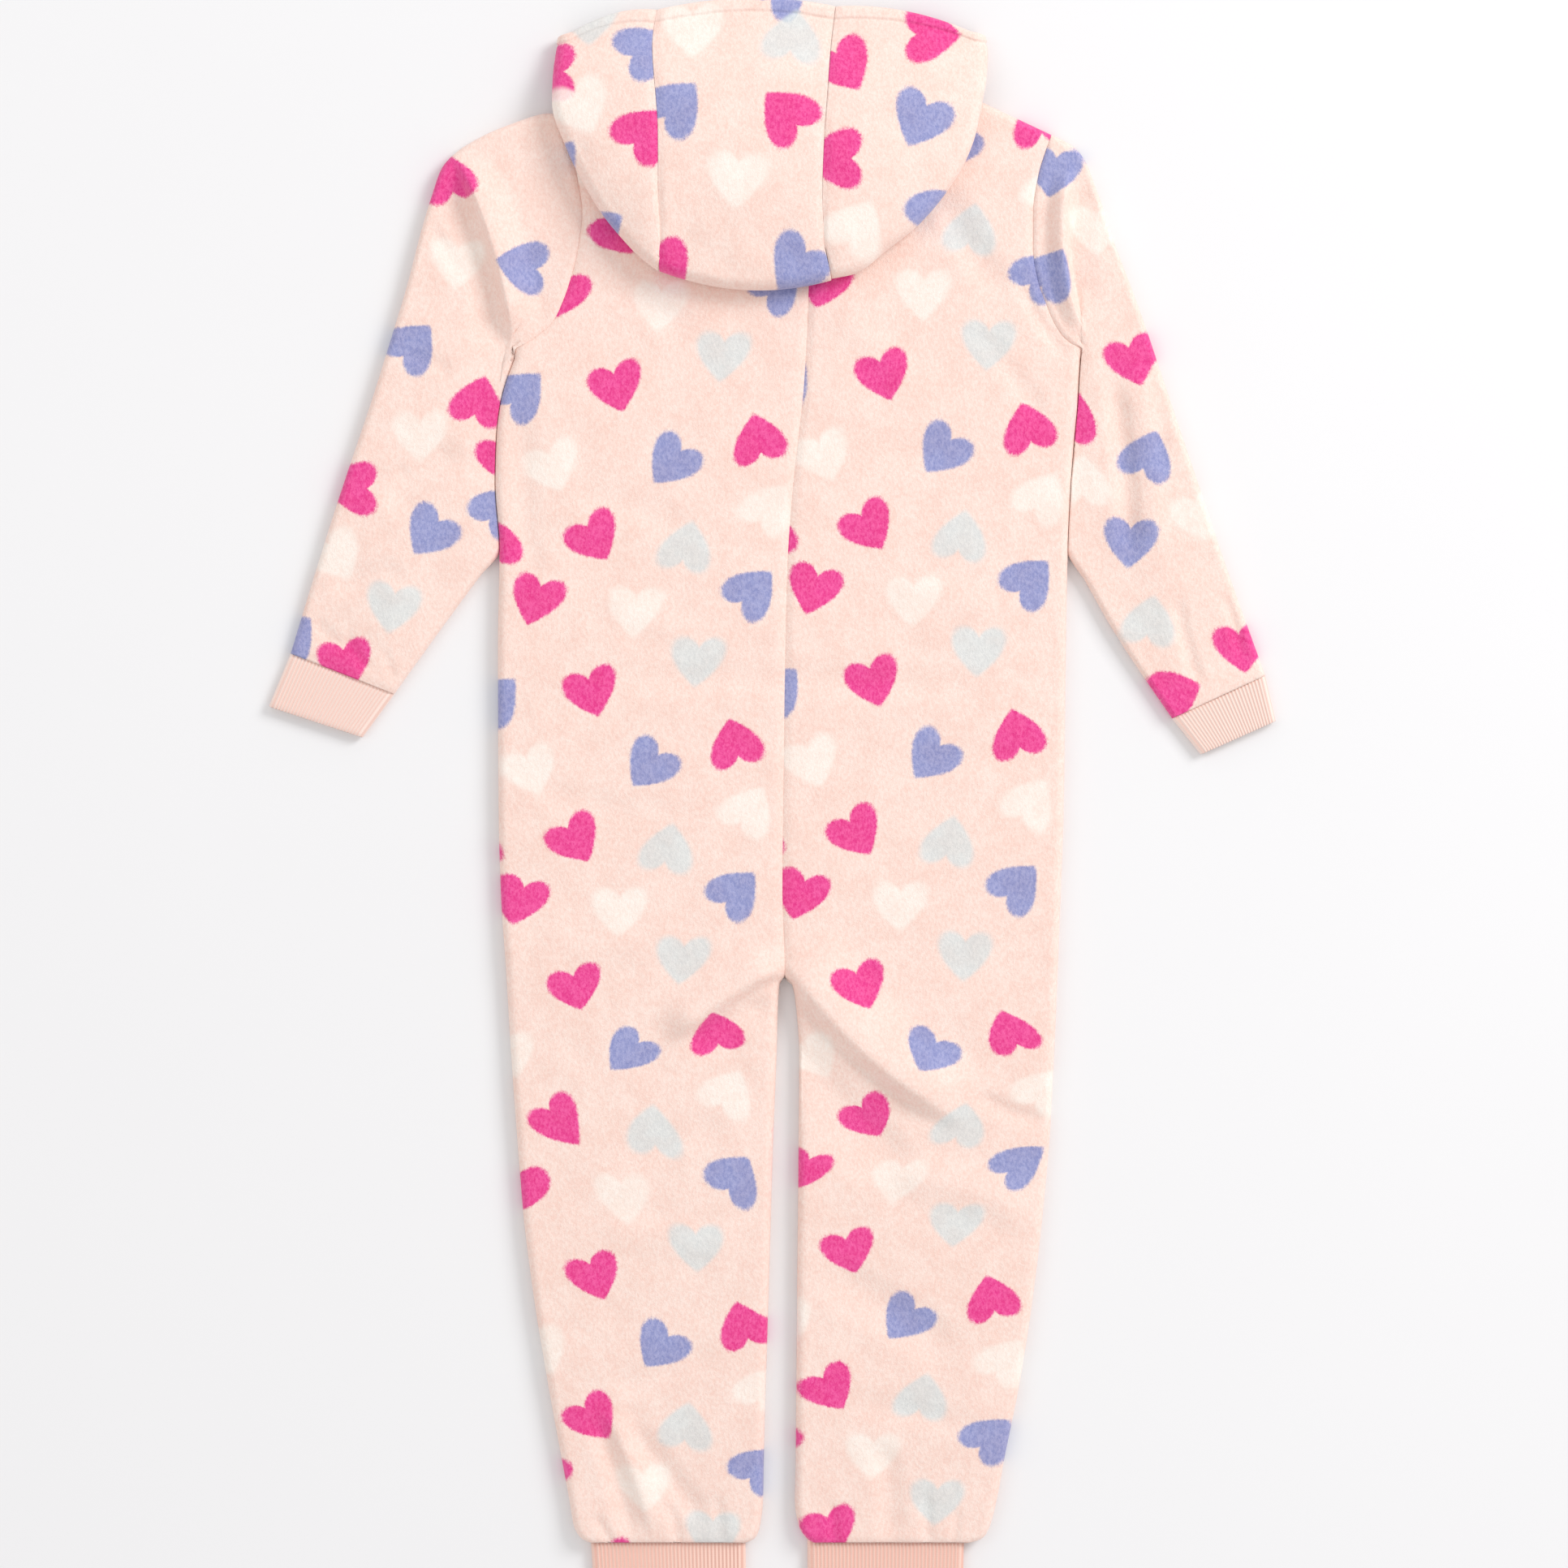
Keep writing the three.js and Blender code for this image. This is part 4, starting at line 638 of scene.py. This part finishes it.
def sleeve_plan(side, station, share, width):
    """Plan of a sleeve by station and share across. At the armhole it keeps its distance from the
    seam's curve; from the fourth station on it is a straight line between the two edges."""
    sign = SIDES[side][0]
    rows = []
    for k, (ox, oy, ix, iy) in enumerate(SLEEVES[side]):
        beside_x = edge_of(OUTLINE, side, np.array(float(iy))) + sign * BESIDE if ix is None else ix
        rows.append((k, ox, oy, float(beside_x), iy))
    ox, oy, ix, iy = np.moveaxis(through(rows, station), -1, 0)
    start = rows[0][1:]

    def on_seam(s):
        y = between(start[1], start[3], np.clip(s, 0, 1))
        return np.stack([edge_of(OUTLINE, side, y) + sign * 2 * SEAM, y + 2 * SEAM * s], -1)

    seam = on_seam(share)
    step = on_seam(share + 0.02) - on_seam(share - 0.02)
    out = unit(np.stack([step[..., 1], -step[..., 0]], -1))
    out = out * np.where(out[..., :1] * sign < 0, -1, 1)
    outer = np.stack([ox - start[0], oy - start[1]], -1)
    inner = np.stack([ix - start[2], iy - start[3]], -1)
    away = between(np.linalg.norm(outer, axis=-1), np.linalg.norm(inner, axis=-1), share)[..., None]
    at_outer, at_inner = smooth((0.06 - share) / 0.06)[..., None], smooth((share - 0.94) / 0.06)[..., None]
    out = out * (1 - at_outer - at_inner) + unit(outer) * at_outer + unit(inner) * at_inner
    straight = smooth((station - 1) / 3)[..., None]
    line = np.stack([between(ox, ix, share), between(oy, iy, share)], -1)
    return between(seam + unit(out) * away, line, straight)


def sleeve_width(side, station):
    rows = []
    for k, (ox, oy, ix, iy) in enumerate(SLEEVES[side]):
        x = edge_of(OUTLINE, side, np.array(float(iy))) if ix is None else ix
        rows.append((k, np.hypot(float(x) - ox, iy - oy)))
    return through(rows, station)[..., 0]


for side in SIDES:
    sign = SIDES[side][0]
    last = len(SLEEVES[side]) - 1
    wrist = last - 0.2
    station = np.concatenate([np.linspace(0, 3, 56), np.linspace(3, wrist, 170)[1:],
                              np.linspace(wrist, last, 8)[1:]])
    width = sleeve_width(side, station)
    roll = 4 * (1 - np.cos(np.radians(np.linspace(0, 90, 8))))
    flat = np.linspace(0, 1, 62)[1:-1]
    share = np.concatenate([roll[:, None] / width, between(4 / width, 1 - 4 / width, flat[:, None]),
                            1 - roll[::-1, None] / width])
    share = np.concatenate([share, share[-2:0:-1]])
    count = len(flat) + 2 * len(roll)
    face = np.concatenate([np.ones(count), -np.ones(count - 2)])[:, None]
    station = np.broadcast_to(station, share.shape)
    inner = smooth(station / 3) * smooth((share - 0.45) / 0.5)
    loft = between(LOFT, SLEEVE_EDGE_LOFT, np.maximum(inner, smooth((station - last + 2) / 2)))
    radius = (loft - FLEECE) / 2
    height = rolled(share * width, radius) * rolled((1 - share) * width, np.minimum(radius, 2))
    height *= 1 - SEAM_DIP * (1 - smooth(station / 0.5)) - SEAM_LINE * (1 - smooth(station / 0.17))
    height *= 1 - 0.3 * smooth((station - last + 0.12) / 0.12)
    inset = between(FLEECE / 2, width - FLEECE / 2, share) / width
    x, y = np.moveaxis(sleeve_plan(side, station, inset, width), -1, 0)
    body = np.max([sign * edge_of(OUTLINE, side, y + d) for d in (-2, 0, 2)], 0)
    clear = sign * np.maximum(sign * x, body + BESIDE + 0.6)
    x = np.where(station > 0.99, clear, between(x, clear, smooth(station)))
    middle = np.stack([x, y, loft / 2 + face * radius * height], -1)
    normals = turned_up(facing(middle, closed=True), 20, 120)
    top = middle[:count]
    for end in (0, -1):
        line = beside(top[:, end])
        normals[:, end] = squared(normals[:, end], np.concatenate([line, line[-2:0:-1]]))
    inside_share = np.minimum(share, 1 - share)
    shift = np.where(face > 0, relief(x, y) * rolled(inside_share, 0.12) * smooth(station / 0.6), 0)
    lift = np.stack([np.zeros_like(x), np.zeros_like(x), shift], -1)
    outside = middle + normals * FLEECE / 2 + lift
    inside = middle - normals * (FLEECE / 2 - 0.2) + lift
    for grid, gap in ((outside, BESIDE), (inside, BESIDE + 0.35)):
        limit = sign * edge_of(OUTLINE, side, grid[..., 1]) + gap
        grid[..., 0] = sign * np.maximum(sign * grid[..., 0], limit)
    outside[..., 2] = np.maximum(outside[..., 2], 0)
    hearts = SLEEVE_HEARTS[side]
    finish = printed_fleece(f"printed_fleece_sleeve_{side}", hearts)
    sleeve = cloth(f"sleeve_tube_{side}", outside, inside, np.stack([x, y], -1), finish, closed=True)
    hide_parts(f"sleeve_{side}")

# Cuffs: doubled rib knit at wrists and ankles, sewn to the gathered hems. The ribs run lengthwise,
# a rib's crest 2.6 mm from the next, and the free edge is the fold of the doubled cloth.

RIB = 2.5
RIB_PITCH = 2.6
RIB_RISE = 0.3
CUFF_LOFT = 7.5
CUFFS = {  # seam from x, y to x, y, then free edge from x, y to x, y
    "wrist_cuff_left": ((-333.3, 648.5, -262.9, 621), (-348.2, 612.7, -284.4, 591.8)),
    "wrist_cuff_right": ((265.1, 604.5, 328.4, 633.6), (284.5, 580.3, 335.5, 603)),
    "ankle_cuff_left": ((-129.5, 47, -24.5, 47), (-126.5, 0, -24, 0)),
    "ankle_cuff_right": ((17.5, 47, 124, 47), (18, 0, 122.5, 0)),
}
CUFF_COLOURS_AND_SHADE = {  # crest of a rib, and the groove beside it darkened as painted shade
    "wrist": (shade(250, 226, 216), shade(240, 204, 192)),
    "ankle": (shade(247, 210, 196), shade(235, 186, 171)),
}


def rib_knit(name, crest, groove):
    """Rib knit: painted shade darkens the grooves between its ribs, and it has small slanted stitches 1.5 mm
    long.
    """
    made, tree, shader = material(name, Roughness=0.88, Sheen_Weight=0.2, Sheen_Roughness=0.4,
                                  Specular_IOR_Level=0.2)
    chart = tree.node("ShaderNodeUVMap", {"uv_map": "chart"})
    where = tree.node("ShaderNodeTexCoord", output=3)
    across, along = tree.parts(chart)
    turn = across * (2 * np.pi / RIB_PITCH)
    rib = turn.math("SINE", turn)
    slant = abs(rib) * 0.5 + along * (1 / 1.5)
    stitch = slant.math("PINGPONG", slant, 0.5)
    lint = tree.noise(where, 900, 3, 0.6)
    # The groove swatch is painted shade in the hollows between the ribs
    colour = tree.blend(tree.ramp(rib + 0.6 * lint, -0.5, 0.9), groove, crest)
    knit = 0.5 * rib + 0.7 * stitch + 0.5 * lint
    bump = tree.node("ShaderNodeBump", None, {"Strength": 0.5, "Distance": 0.0005, "Height": knit})
    feed(tree, shader, Base_Color=colour, Normal=bump)
    return made


rib_finish = {kind: rib_knit(f"rib_knit_{kind}", *pair) for kind, pair in CUFF_COLOURS_AND_SHADE.items()}
for name, (seam, free) in CUFFS.items():
    kind, _, side = name.partition("_cuff_")
    radius = (CUFF_LOFT - RIB) / 2
    width = np.hypot(seam[2] - seam[0], seam[3] - seam[1])
    ribs = round((width - 2 * radius) / RIB_PITCH)
    roll = radius * (1 - np.cos(np.radians(np.linspace(0, 75, 6)))) / width
    flat = np.linspace(radius / width, 1 - radius / width, 8 * ribs + 1)
    share = np.concatenate([roll, flat, 1 - roll[::-1]])
    plain = np.zeros(len(roll))
    wave = np.concatenate([plain, -np.cos(np.arange(len(flat)) * np.pi / 4), plain])
    share, wave = (np.concatenate([part, part[-2:0:-1]])[:, None] for part in (share, wave))
    count = len(flat) + 2 * len(roll)
    face = np.concatenate([np.ones(count), -np.ones(count - 2)])[:, None]
    along = np.concatenate([[0, 0.01, 0.03], np.linspace(0.06, 0.94, 18), [0.965, 0.985, 0.996, 1]])[None, :]
    a = [between(seam[k], free[k], along) for k in range(4)]
    span = np.hypot(a[2] - a[0], a[3] - a[1])
    inset = RIB / 2 * (1 - 2 * share)
    x = between(a[0], a[2], share) + (a[2] - a[0]) / span * inset
    y = between(a[1], a[3], share) + (a[3] - a[1]) / span * inset
    down = unit(np.array([free[0] + free[2] - seam[0] - seam[2], free[1] + free[3] - seam[1] - seam[3]]))
    x, y = x + down[0] * SEAM * (1 - along), y + down[1] * SEAM * (1 - along)
    ends = 1 - 0.25 * (1 - smooth(along / 0.06)) - 0.35 * smooth((along - 0.93) / 0.07) ** 2
    height = rolled(share * width, radius) * rolled((1 - share) * width, radius)
    middle = np.stack([x, y, CUFF_LOFT / 2 + face * radius * height * np.where(face > 0, ends, 1)], -1)
    normals = turned_up(facing(middle, closed=True), 20, 8)
    for end in (0, -1):
        normals[:, end] = squared(normals[:, end], np.array([*down, 0.0]))
    swell = (RIB_RISE * wave * np.where(face > 0, 1, 0.6))[..., None]
    outside = middle + normals * (RIB / 2 + swell)
    inside = middle - normals * (RIB / 2 - 0.1)
    outside[..., 2] = np.maximum(outside[..., 2], 0)
    length = np.hypot(*(np.array(free[:2]) - seam[:2]))
    chart = np.stack([share * width + 0 * along, along * length + 0 * share], -1)
    cuff = cloth(f"rib_{name}", outside, inside, chart, rib_finish[kind], closed=True)
    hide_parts(name)

# Hood: a middle panel and two side panels of printed fleece, sewn together and laid back flat. Its
# mouth, at the top, has a hem of doubled cloth held by a line of stitches, and the crown and the
# sides turn under and rest on the back.

HOOD_DIP = 1.2
HOOD_CROWN = 1.6  # how far the middle panel's cloth bulges between its seams
HOOD_ROLL = 7.0  # radius of the turned-under edge
BACK_TOP = 12.5  # level at which the folded hood rests on the back
GUSSET = [  # height, left and right seam of the middle panel
    (900, -82, 34), (925, -83, 29), (960, -83, 27.5), (1000, -83.2, 29), (1020, -84.5, 30.5),
    (1060, -87.5, 33.5), (1094, -83, 37.5),
]
HOOD_SIDES = {  # height of the mouth at the seam, its bow, the seam's lower corner, and the side's edge
    "left": (1084.6, 5.0, 930, [(-150, 1067), (-153, 1055), (-154.8, 1036), (-155, 1020), (-145.5, 989.5),
                                (-135, 967.5), (-123, 947), (-106, 926), (-94, 914), (-82, 905.5)]),
    "right": (1087, 5.5, 926, [(136.5, 1068), (140, 1056), (138.6, 1036), (135.5, 1020), (131.5, 1000),
                               (124.5, 981), (111, 959), (92, 937), (72, 921), (50, 904.5), (34, 901)]),
}
HOOD_HEM = [  # row, distance from the mouth along seam and edge, wall above and below its middle
    (0, 0, 0, 0.7, 0.7), (1, 1.2, 1.2, 2.3, 2.6), (2, 4, 3, 3.2, 3.6), (3, 8, 6, 3, 3.6),
    (4, 10, 7.6, 1.7, 3), (5, 12, 9.4, 2, 2), (6, 24, 22, 2, 2), (7, 42, 42, 2, 2), (8, 62, 64, 2, 2),
    (9, 84, 90, 2, 2), (10, 106, 118, 2, 2), (11, 126, 148, 2, 2), (12, 142, 178, 2, 2),
]
HOOD_LEVELS = [  # height in plan, level of the cloth in the middle and at the edge, level underneath
    (893, 26, 26, 14.5), (912, 30, 27, 14.5), (940, 34, 27.5, 14.5), (980, 35.5, 27, 14.5),
    (1015, 32, 25, 14.5), (1028, 29.5, 23, 14), (1046, 23.5, 18, 6), (1058, 18, 13.5, 2.6),
    (1070, 13, 11, 2.4), (1094, 8, 8, 2.4),
]
HOOD_HEARTS = {
    "middle": [("purple", -69, 1018, 48), ("pink", 1, 1012, 133), ("white", -30, 963, -95),
               ("pink", -77, 903, -60), ("purple", 8, 907, -127), ("mint", 8, 1067, 81),
               ("purple", 2, 1101, 48), ("white", -60, 1066, -90)],
    "left": [("pink", -160, 1040, 180), ("purple", -89, 1057, 30), ("white", -134, 1013, -68),
             ("pink", -90, 1000, 48), ("purple", -150, 980, 48), ("purple", -121, 934, 30),
             ("mint", -130, 1075, -90)],
    "right": [("pink", 44, 1041, -60), ("pink", 104.5, 1066, 0), ("purple", 92, 1004, -115),
              ("pink", 33, 980, 180), ("white", 52, 937, 60), ("purple", 108, 948, 48)],
}


def hood_edge(side, y):
    rows = np.array(HOOD_SIDES[side][3])[::-1, ::-1]
    return through(rows, y)[..., 0]


def hood_level(x, y):
    """Level of the hood's cloth: highest between its seams, and down to the edge as the square."""
    middle, edge = np.moveaxis(through(HOOD_LEVELS, y), -1, 0)[:2]
    left, right = np.moveaxis(through(GUSSET, y), -1, 0)
    on_left = x < (left + right) / 2
    past_seam = np.where(on_left, left - x, x - right)
    reach = np.where(on_left, left - hood_edge("left", y), hood_edge("right", y) - right)
    share = np.clip(past_seam / np.maximum(reach, 1), 0, 1)
    across = (x - left) / (right - left)
    crown = middle + HOOD_CROWN * 4 * across * (1 - across)
    return np.where(past_seam > 0, between(middle, edge, share ** 2), crown)


def hood_relief(x, y):
    return 0.9 * uneven(x, y, 31) + 0.4 * uneven(x, y, 13)


def turn_under(start, end, shares):
    """Rows that run straight from start to near end, and then roll under by most of a half turn."""
    run = end - start
    length = np.linalg.norm(run, axis=-1, keepdims=True)
    ahead = run / length
    flat = length - HOOD_ROLL - FLEECE / 2
    points = start[:, None] + ahead[:, None] * flat[:, None] * shares[None, :, None]
    brow = points[:, -1]
    high = hood_level(brow[:, 0], brow[:, 1])[:, None]
    low = through(HOOD_LEVELS, brow[:, 1])[:, 2:3]
    angle = np.radians(np.linspace(10, 150, 15))
    over = brow[:, None] + ahead[:, None] * (HOOD_ROLL * np.sin(angle))[None, :, None]
    level = between(low, high, (1 + np.cos(angle)) / 2)
    plan = np.concatenate([points, over], 1)
    z = np.concatenate([hood_level(points[..., 0], points[..., 1]), level], 1)
    return plan, z, flat * shares


hood_rows = np.concatenate([np.linspace(0, 5, 26), np.linspace(5, 12, 52)[1:]])
hem = through(HOOD_HEM, hood_rows)
for side in SIDES:
    sign = SIDES[side][0]
    mouth, bow, corner, edge = HOOD_SIDES[side]
    edge = np.array(edge, float)
    run = np.concatenate([[0], np.cumsum(np.linalg.norm(np.diff(edge, axis=0), axis=1))])
    lower = np.linspace(0, 1, 9)[1:, None]
    seam_off = np.concatenate([hem[:, 0], between(142, mouth - corner, lower[:, 0])])
    edge_off = np.concatenate([hem[:, 1], between(178, run[-1], lower[:, 0])])
    thick = np.concatenate([hem[:, 2:], np.full((len(lower), 2), 2.0)])
    y = mouth - seam_off
    start = np.stack([edge_of(GUSSET, side, y) + sign * SEAM, y], -1)
    end = through(np.column_stack([run, edge]), edge_off)
    end[-1, 0] += sign * SEAM
    shares = np.concatenate([np.linspace(0, 0.1, 7), np.linspace(0.1, 1, 44)[1:]])
    plan, z, off = turn_under(start, end, shares)
    x, y = plan[..., 0], plan[..., 1].copy()
    columns = len(shares)
    y[:, :columns] += bow * 4 * shares * (1 - shares) * (1 - smooth(seam_off / 60))[:, None]
    groove = np.ones_like(z)
    groove[:, :columns] = smooth(off / SEAM_WIDTH)
    last = np.linalg.norm(plan - plan[-1:], axis=-1)
    turned = np.concatenate([np.ones(columns), np.linspace(0.9, 0, z.shape[1] - columns)])
    z = z - HOOD_DIP * (1 - groove * smooth(last / SEAM_WIDTH)) * turned
    z = z + hood_relief(x, y) * turned * smooth(seam_off / 20)[:, None] * groove
    middle = np.stack([x, y, z], -1)
    normals = turned_up(facing(middle), 40, 20)
    normals[:, 0] = squared(normals[:, 0], beside(middle[:, 0]))
    outside = middle + normals * thick[:, None, :1]
    inside = middle - normals * thick[:, None, 1:]
    finish = printed_fleece(f"printed_fleece_hood_{side}", HOOD_HEARTS[side], size=HOOD_HEART)
    panel = cloth(f"hood_panel_{side}", outside, inside, np.stack([x, y], -1), finish)
    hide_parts(f"hood_side_{side}")

CROWN = (893.0, -15.0, 0.0029)  # lowest point of the crown's edge, its place across, its curve
MOUTH_PEAK = 6.5  # how far the mouth's edge rises between the seams
GUSSET_WIDTH = 115  # width of the middle panel between its seams, about
across = np.concatenate([np.linspace(0, 0.06, 8), np.linspace(0.06, 0.94, 50)[1:-1], np.linspace(0.94, 1, 8)])
hem_columns = hem[:, None, :]
mouth_y = between(1084.6, 1087, across) + MOUTH_PEAK * 4 * across * (1 - across)
seams = through(GUSSET, np.array([900.0]))[0]
crown_y = CROWN[0] + CROWN[2] * (between(seams[0], seams[1], across) - CROWN[1]) ** 2
brow_y = crown_y + HOOD_ROLL + FLEECE / 2
near_mouth = mouth_y - hem_columns[..., 0]
far = between(mouth_y - 24, brow_y, (hem_columns[..., 0] - 24) / (142 - 24))
y = np.where(hem_columns[..., 0] < 24, near_mouth, far)
angle = np.radians(np.linspace(10, 150, 15))[:, None]
y = np.concatenate([y, brow_y - HOOD_ROLL * np.sin(angle)])
left, right = np.moveaxis(through(GUSSET, y), -1, 0)
x = between(left + SEAM, right - SEAM, across)
flat_rows = len(hood_rows)
high = hood_level(x[flat_rows - 1], y[flat_rows - 1])
z = np.concatenate([hood_level(x[:flat_rows], y[:flat_rows]),
                    between(BACK_TOP + FLEECE / 2, high, (1 + np.cos(angle)) / 2)])
groove = smooth(np.minimum(across, 1 - across) * GUSSET_WIDTH / SEAM_WIDTH)
turned = np.concatenate([np.ones(flat_rows), np.linspace(0.9, 0, len(angle))])[:, None]
z = z - HOOD_DIP * (1 - groove) * turned
past_hem = np.concatenate([smooth(hem[:, 0] / 20), np.ones(len(angle))])[:, None]
z = z + hood_relief(x, y) * turned * groove * past_hem
middle = np.stack([x, y, z], -1)
normals = turned_up(facing(middle), 40, 20)
for column in (0, -1):
    normals[:, column] = squared(normals[:, column], np.array([1.0, 0, 0]))
thick = np.concatenate([hem[:, 2:], np.full((len(angle), 2), 2.0)])[:, None]
finish = printed_fleece("printed_fleece_hood_middle", HOOD_HEARTS["middle"], size=HOOD_HEART)
panel = cloth("hood_panel_middle", middle + normals * thick[..., :1], middle - normals * thick[..., 1:],
              np.stack([x, y], -1), finish)
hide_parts("hood_middle")

# Inside of the hood: the layers that the laid-back hood hides, folded on the back between the
# shoulders, and the strips of its side panels that come round to the front neckline.

row = np.concatenate([np.linspace(1066, 1053.6, 8), np.linspace(1052.4, 916, 60)])
share = np.concatenate([np.linspace(0, 0.15, 14), np.linspace(0.15, 0.85, 44)[1:-1],
                        np.linspace(0.85, 1, 14)])
left, right = hood_edge("left", row - 8) + 13, hood_edge("right", row - 8) - 13
x = between(left[:, None], right[:, None], share)
y = np.broadcast_to(row[:, None], x.shape)
low = np.where(y > 1053, FLEECE + 0.6, BACK_TOP)
ends = 1 - 0.55 * (1 - rolled(np.minimum(1066 - row, row - 916), 12))[:, None]
side_share = 0.3 + 0.7 * rolled(np.minimum(share, 1 - share), 0.15)
high = between(low, hood_level(x, y) - FLEECE / 2 - 3.2, ends * side_share)
layers = 0.25 * np.cos(2 * np.pi * (high - low) / 4.0)
outside = np.stack([x, y, np.maximum(high - 1.8 + layers, low + 0.6)], -1)
inside = np.stack([x, y, low + 0 * x], -1)
folds = cloth("hood_inner_layers", outside, inside, np.stack([x, y], -1),
              printed_fleece("printed_fleece_hood_inside", HOOD_HEARTS["middle"]))
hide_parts("hood_folds")

STRIPS = {  # neckline side, then outer side, from the middle of the front to the shoulder
    "left": ([(-2.5, 986.3), (-29, 991.8), (-51.4, 1005.9), (-66.3, 1026.4), (-70.8, 1044.5), (-74, 1053),
              (-100, 1040), (-145, 1020.5)],
             [(-2, 991), (-20, 1001), (-32, 1014), (-42, 1029), (-50, 1044), (-56, 1054), (-100, 1068),
              (-147, 1061)]),
    "right": ([(2.5, 986.3), (29, 991.8), (51.4, 1005.9), (66.3, 1026.4), (70.8, 1044.5), (77, 1054),
               (95, 1045), (133, 1028.5)],
              [(2, 991), (20, 1001), (32, 1014), (42, 1029), (50, 1044), (56, 1054), (96, 1068),
               (136, 1061)]),
}
for side, (rim, outer) in STRIPS.items():
    key = np.arange(len(rim))[:, None]
    at = np.linspace(0, len(rim) - 1, 70)
    rim, outer = through(np.hstack([key, rim]), at), through(np.hstack([key, outer]), at)
    share = np.concatenate([[0, 0.03, 0.08, 0.16], np.linspace(0.25, 0.75, 9), [0.84, 0.92, 0.97, 1]])
    share = share[None, :, None]
    plan = between(rim[:, None], outer[:, None], share)
    half = 0.35 + 1.65 * rolled(np.minimum(share, 1 - share), 0.25) * np.ones((70, 1, 1))
    middle = np.concatenate([plan, 0 * half + 2], -1)
    lift = np.concatenate([0 * plan, half], -1)
    finish = bpy.data.materials[f"printed_fleece_hood_{side}"]
    strip = cloth(f"hood_strip_{side}", middle + lift, middle - lift, plan, finish)

# Zip: two woven tapes with a closed coil of small teeth between the fronts, a slider near the neck
# and its pull tab, both of nickel-plated metal.

ZIP_TOP = 981.0
TAPE = (24.0, 4.3, 0.8)  # width, level of its lower face, thickness
COIL = (4.0, 3.3, 5.9, 1.5)  # width, lowest and highest level, pitch of the teeth
zip_length = ZIP_TOP - 4.4 - SEAM - ZIP_BOTTOM

made, tree, shader = material("zip_tape_weave", Roughness=0.75, Specular_IOR_Level=0.3)
where = tree.node("ShaderNodeTexCoord", output=3)
across, along = tree.parts(where)
twill = (across + along) * 5200
weave = twill.math("SINE", twill)
tint = tree.noise(where, 600, 2, 0.5)
colour = tree.blend(tree.ramp(weave + tint, -0.4, 1.2), shade(232, 184, 170), shade(246, 208, 196))
bump = tree.node("ShaderNodeBump", None, {"Strength": 0.4, "Distance": 0.0003, "Height": weave})
feed(tree, shader, Base_Color=colour, Normal=bump)
tape_finish = made
across = np.array([-12, -11.6, -11, -8, -4, -2, 0, 2, 4, 8, 11, 11.6, 12])[None, :]
along = np.linspace(ZIP_BOTTOM, ZIP_BOTTOM + zip_length, 240)[:, None]
x, y = across + 0 * along, along + 0 * across
thin = 0.15 + (TAPE[2] / 2 - 0.15) * rolled(12 - np.abs(x), 0.8)
middle = TAPE[1] + TAPE[2] / 2
outside, inside = np.stack([x, y, middle + thin], -1), np.stack([x, y, middle - thin], -1)
tape = cloth("zip_tapes", outside, inside, np.stack([x, y], -1), tape_finish)
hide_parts("zip_tape")

made, tree, shader = material("zip_coil_nylon", Roughness=0.35, Specular_IOR_Level=0.5)
where = tree.node("ShaderNodeTexCoord", output=3)
rub = tree.noise(where, 300, 2, 0.5)
colour = tree.blend(rub, shade(238, 192, 178), shade(248, 214, 202))
feed(tree, shader, Base_Color=colour, Roughness=0.25 + 0.25 * rub)
teeth = int(zip_length / COIL[3])
turn = np.linspace(0, 2 * np.pi, 7)[:-1]
bead = np.linspace(-1, 1, 5)
ring = np.sqrt(1 - 0.75 * bead ** 2)[:, None]
around = np.stack([COIL[0] / 2 * 0.62 * bead[:, None] + 0 * turn, 0.62 * ring * np.cos(turn),
                   (COIL[2] - COIL[1]) / 2 * ring * np.sin(turn)], -1).reshape(-1, 3)
sway = np.where(np.arange(teeth) % 2, 0.75, -0.75)
level = np.full(teeth, (COIL[1] + COIL[2]) / 2)
spots = np.stack([sway, ZIP_BOTTOM + 0.8 + COIL[3] * np.arange(teeth), level], -1)
points = place((spots[:, None] + around).reshape(-1, 3))
cell = np.arange(30).reshape(5, 6)
beyond = np.roll(cell, -1, 1)
quads = np.stack([cell[:-1], cell[1:], beyond[1:], beyond[:-1]], -1).reshape(-1, 4)
faces = [(quad + 30 * k).tolist() for k in range(teeth) for quad in quads]
faces += [(cap + 30 * k).tolist() for k in range(teeth) for cap in (cell[0], cell[-1, ::-1])]
mesh = bpy.data.meshes.new("zip_coil")
mesh.from_pydata(points.tolist(), [], faces)
mesh.materials.append(made)
coil = bpy.data.objects.new("zip_coil", mesh)
bpy.context.collection.objects.link(coil)
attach(coil, "garment")

made, tree, shader = material("zip_metal_nickel", Metallic=1.0)
where = tree.node("ShaderNodeTexCoord", output=3)
wear = tree.noise(where, 900, 3, 0.6)
feed(tree, shader, Base_Color=tree.blend(wear, shade(196, 196, 199), shade(222, 221, 220)),
     Roughness=0.22 + 0.25 * wear)
for name in ("zip_slider", "zip_pull"):
    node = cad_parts[name]
    node.material_slots[0].material = made
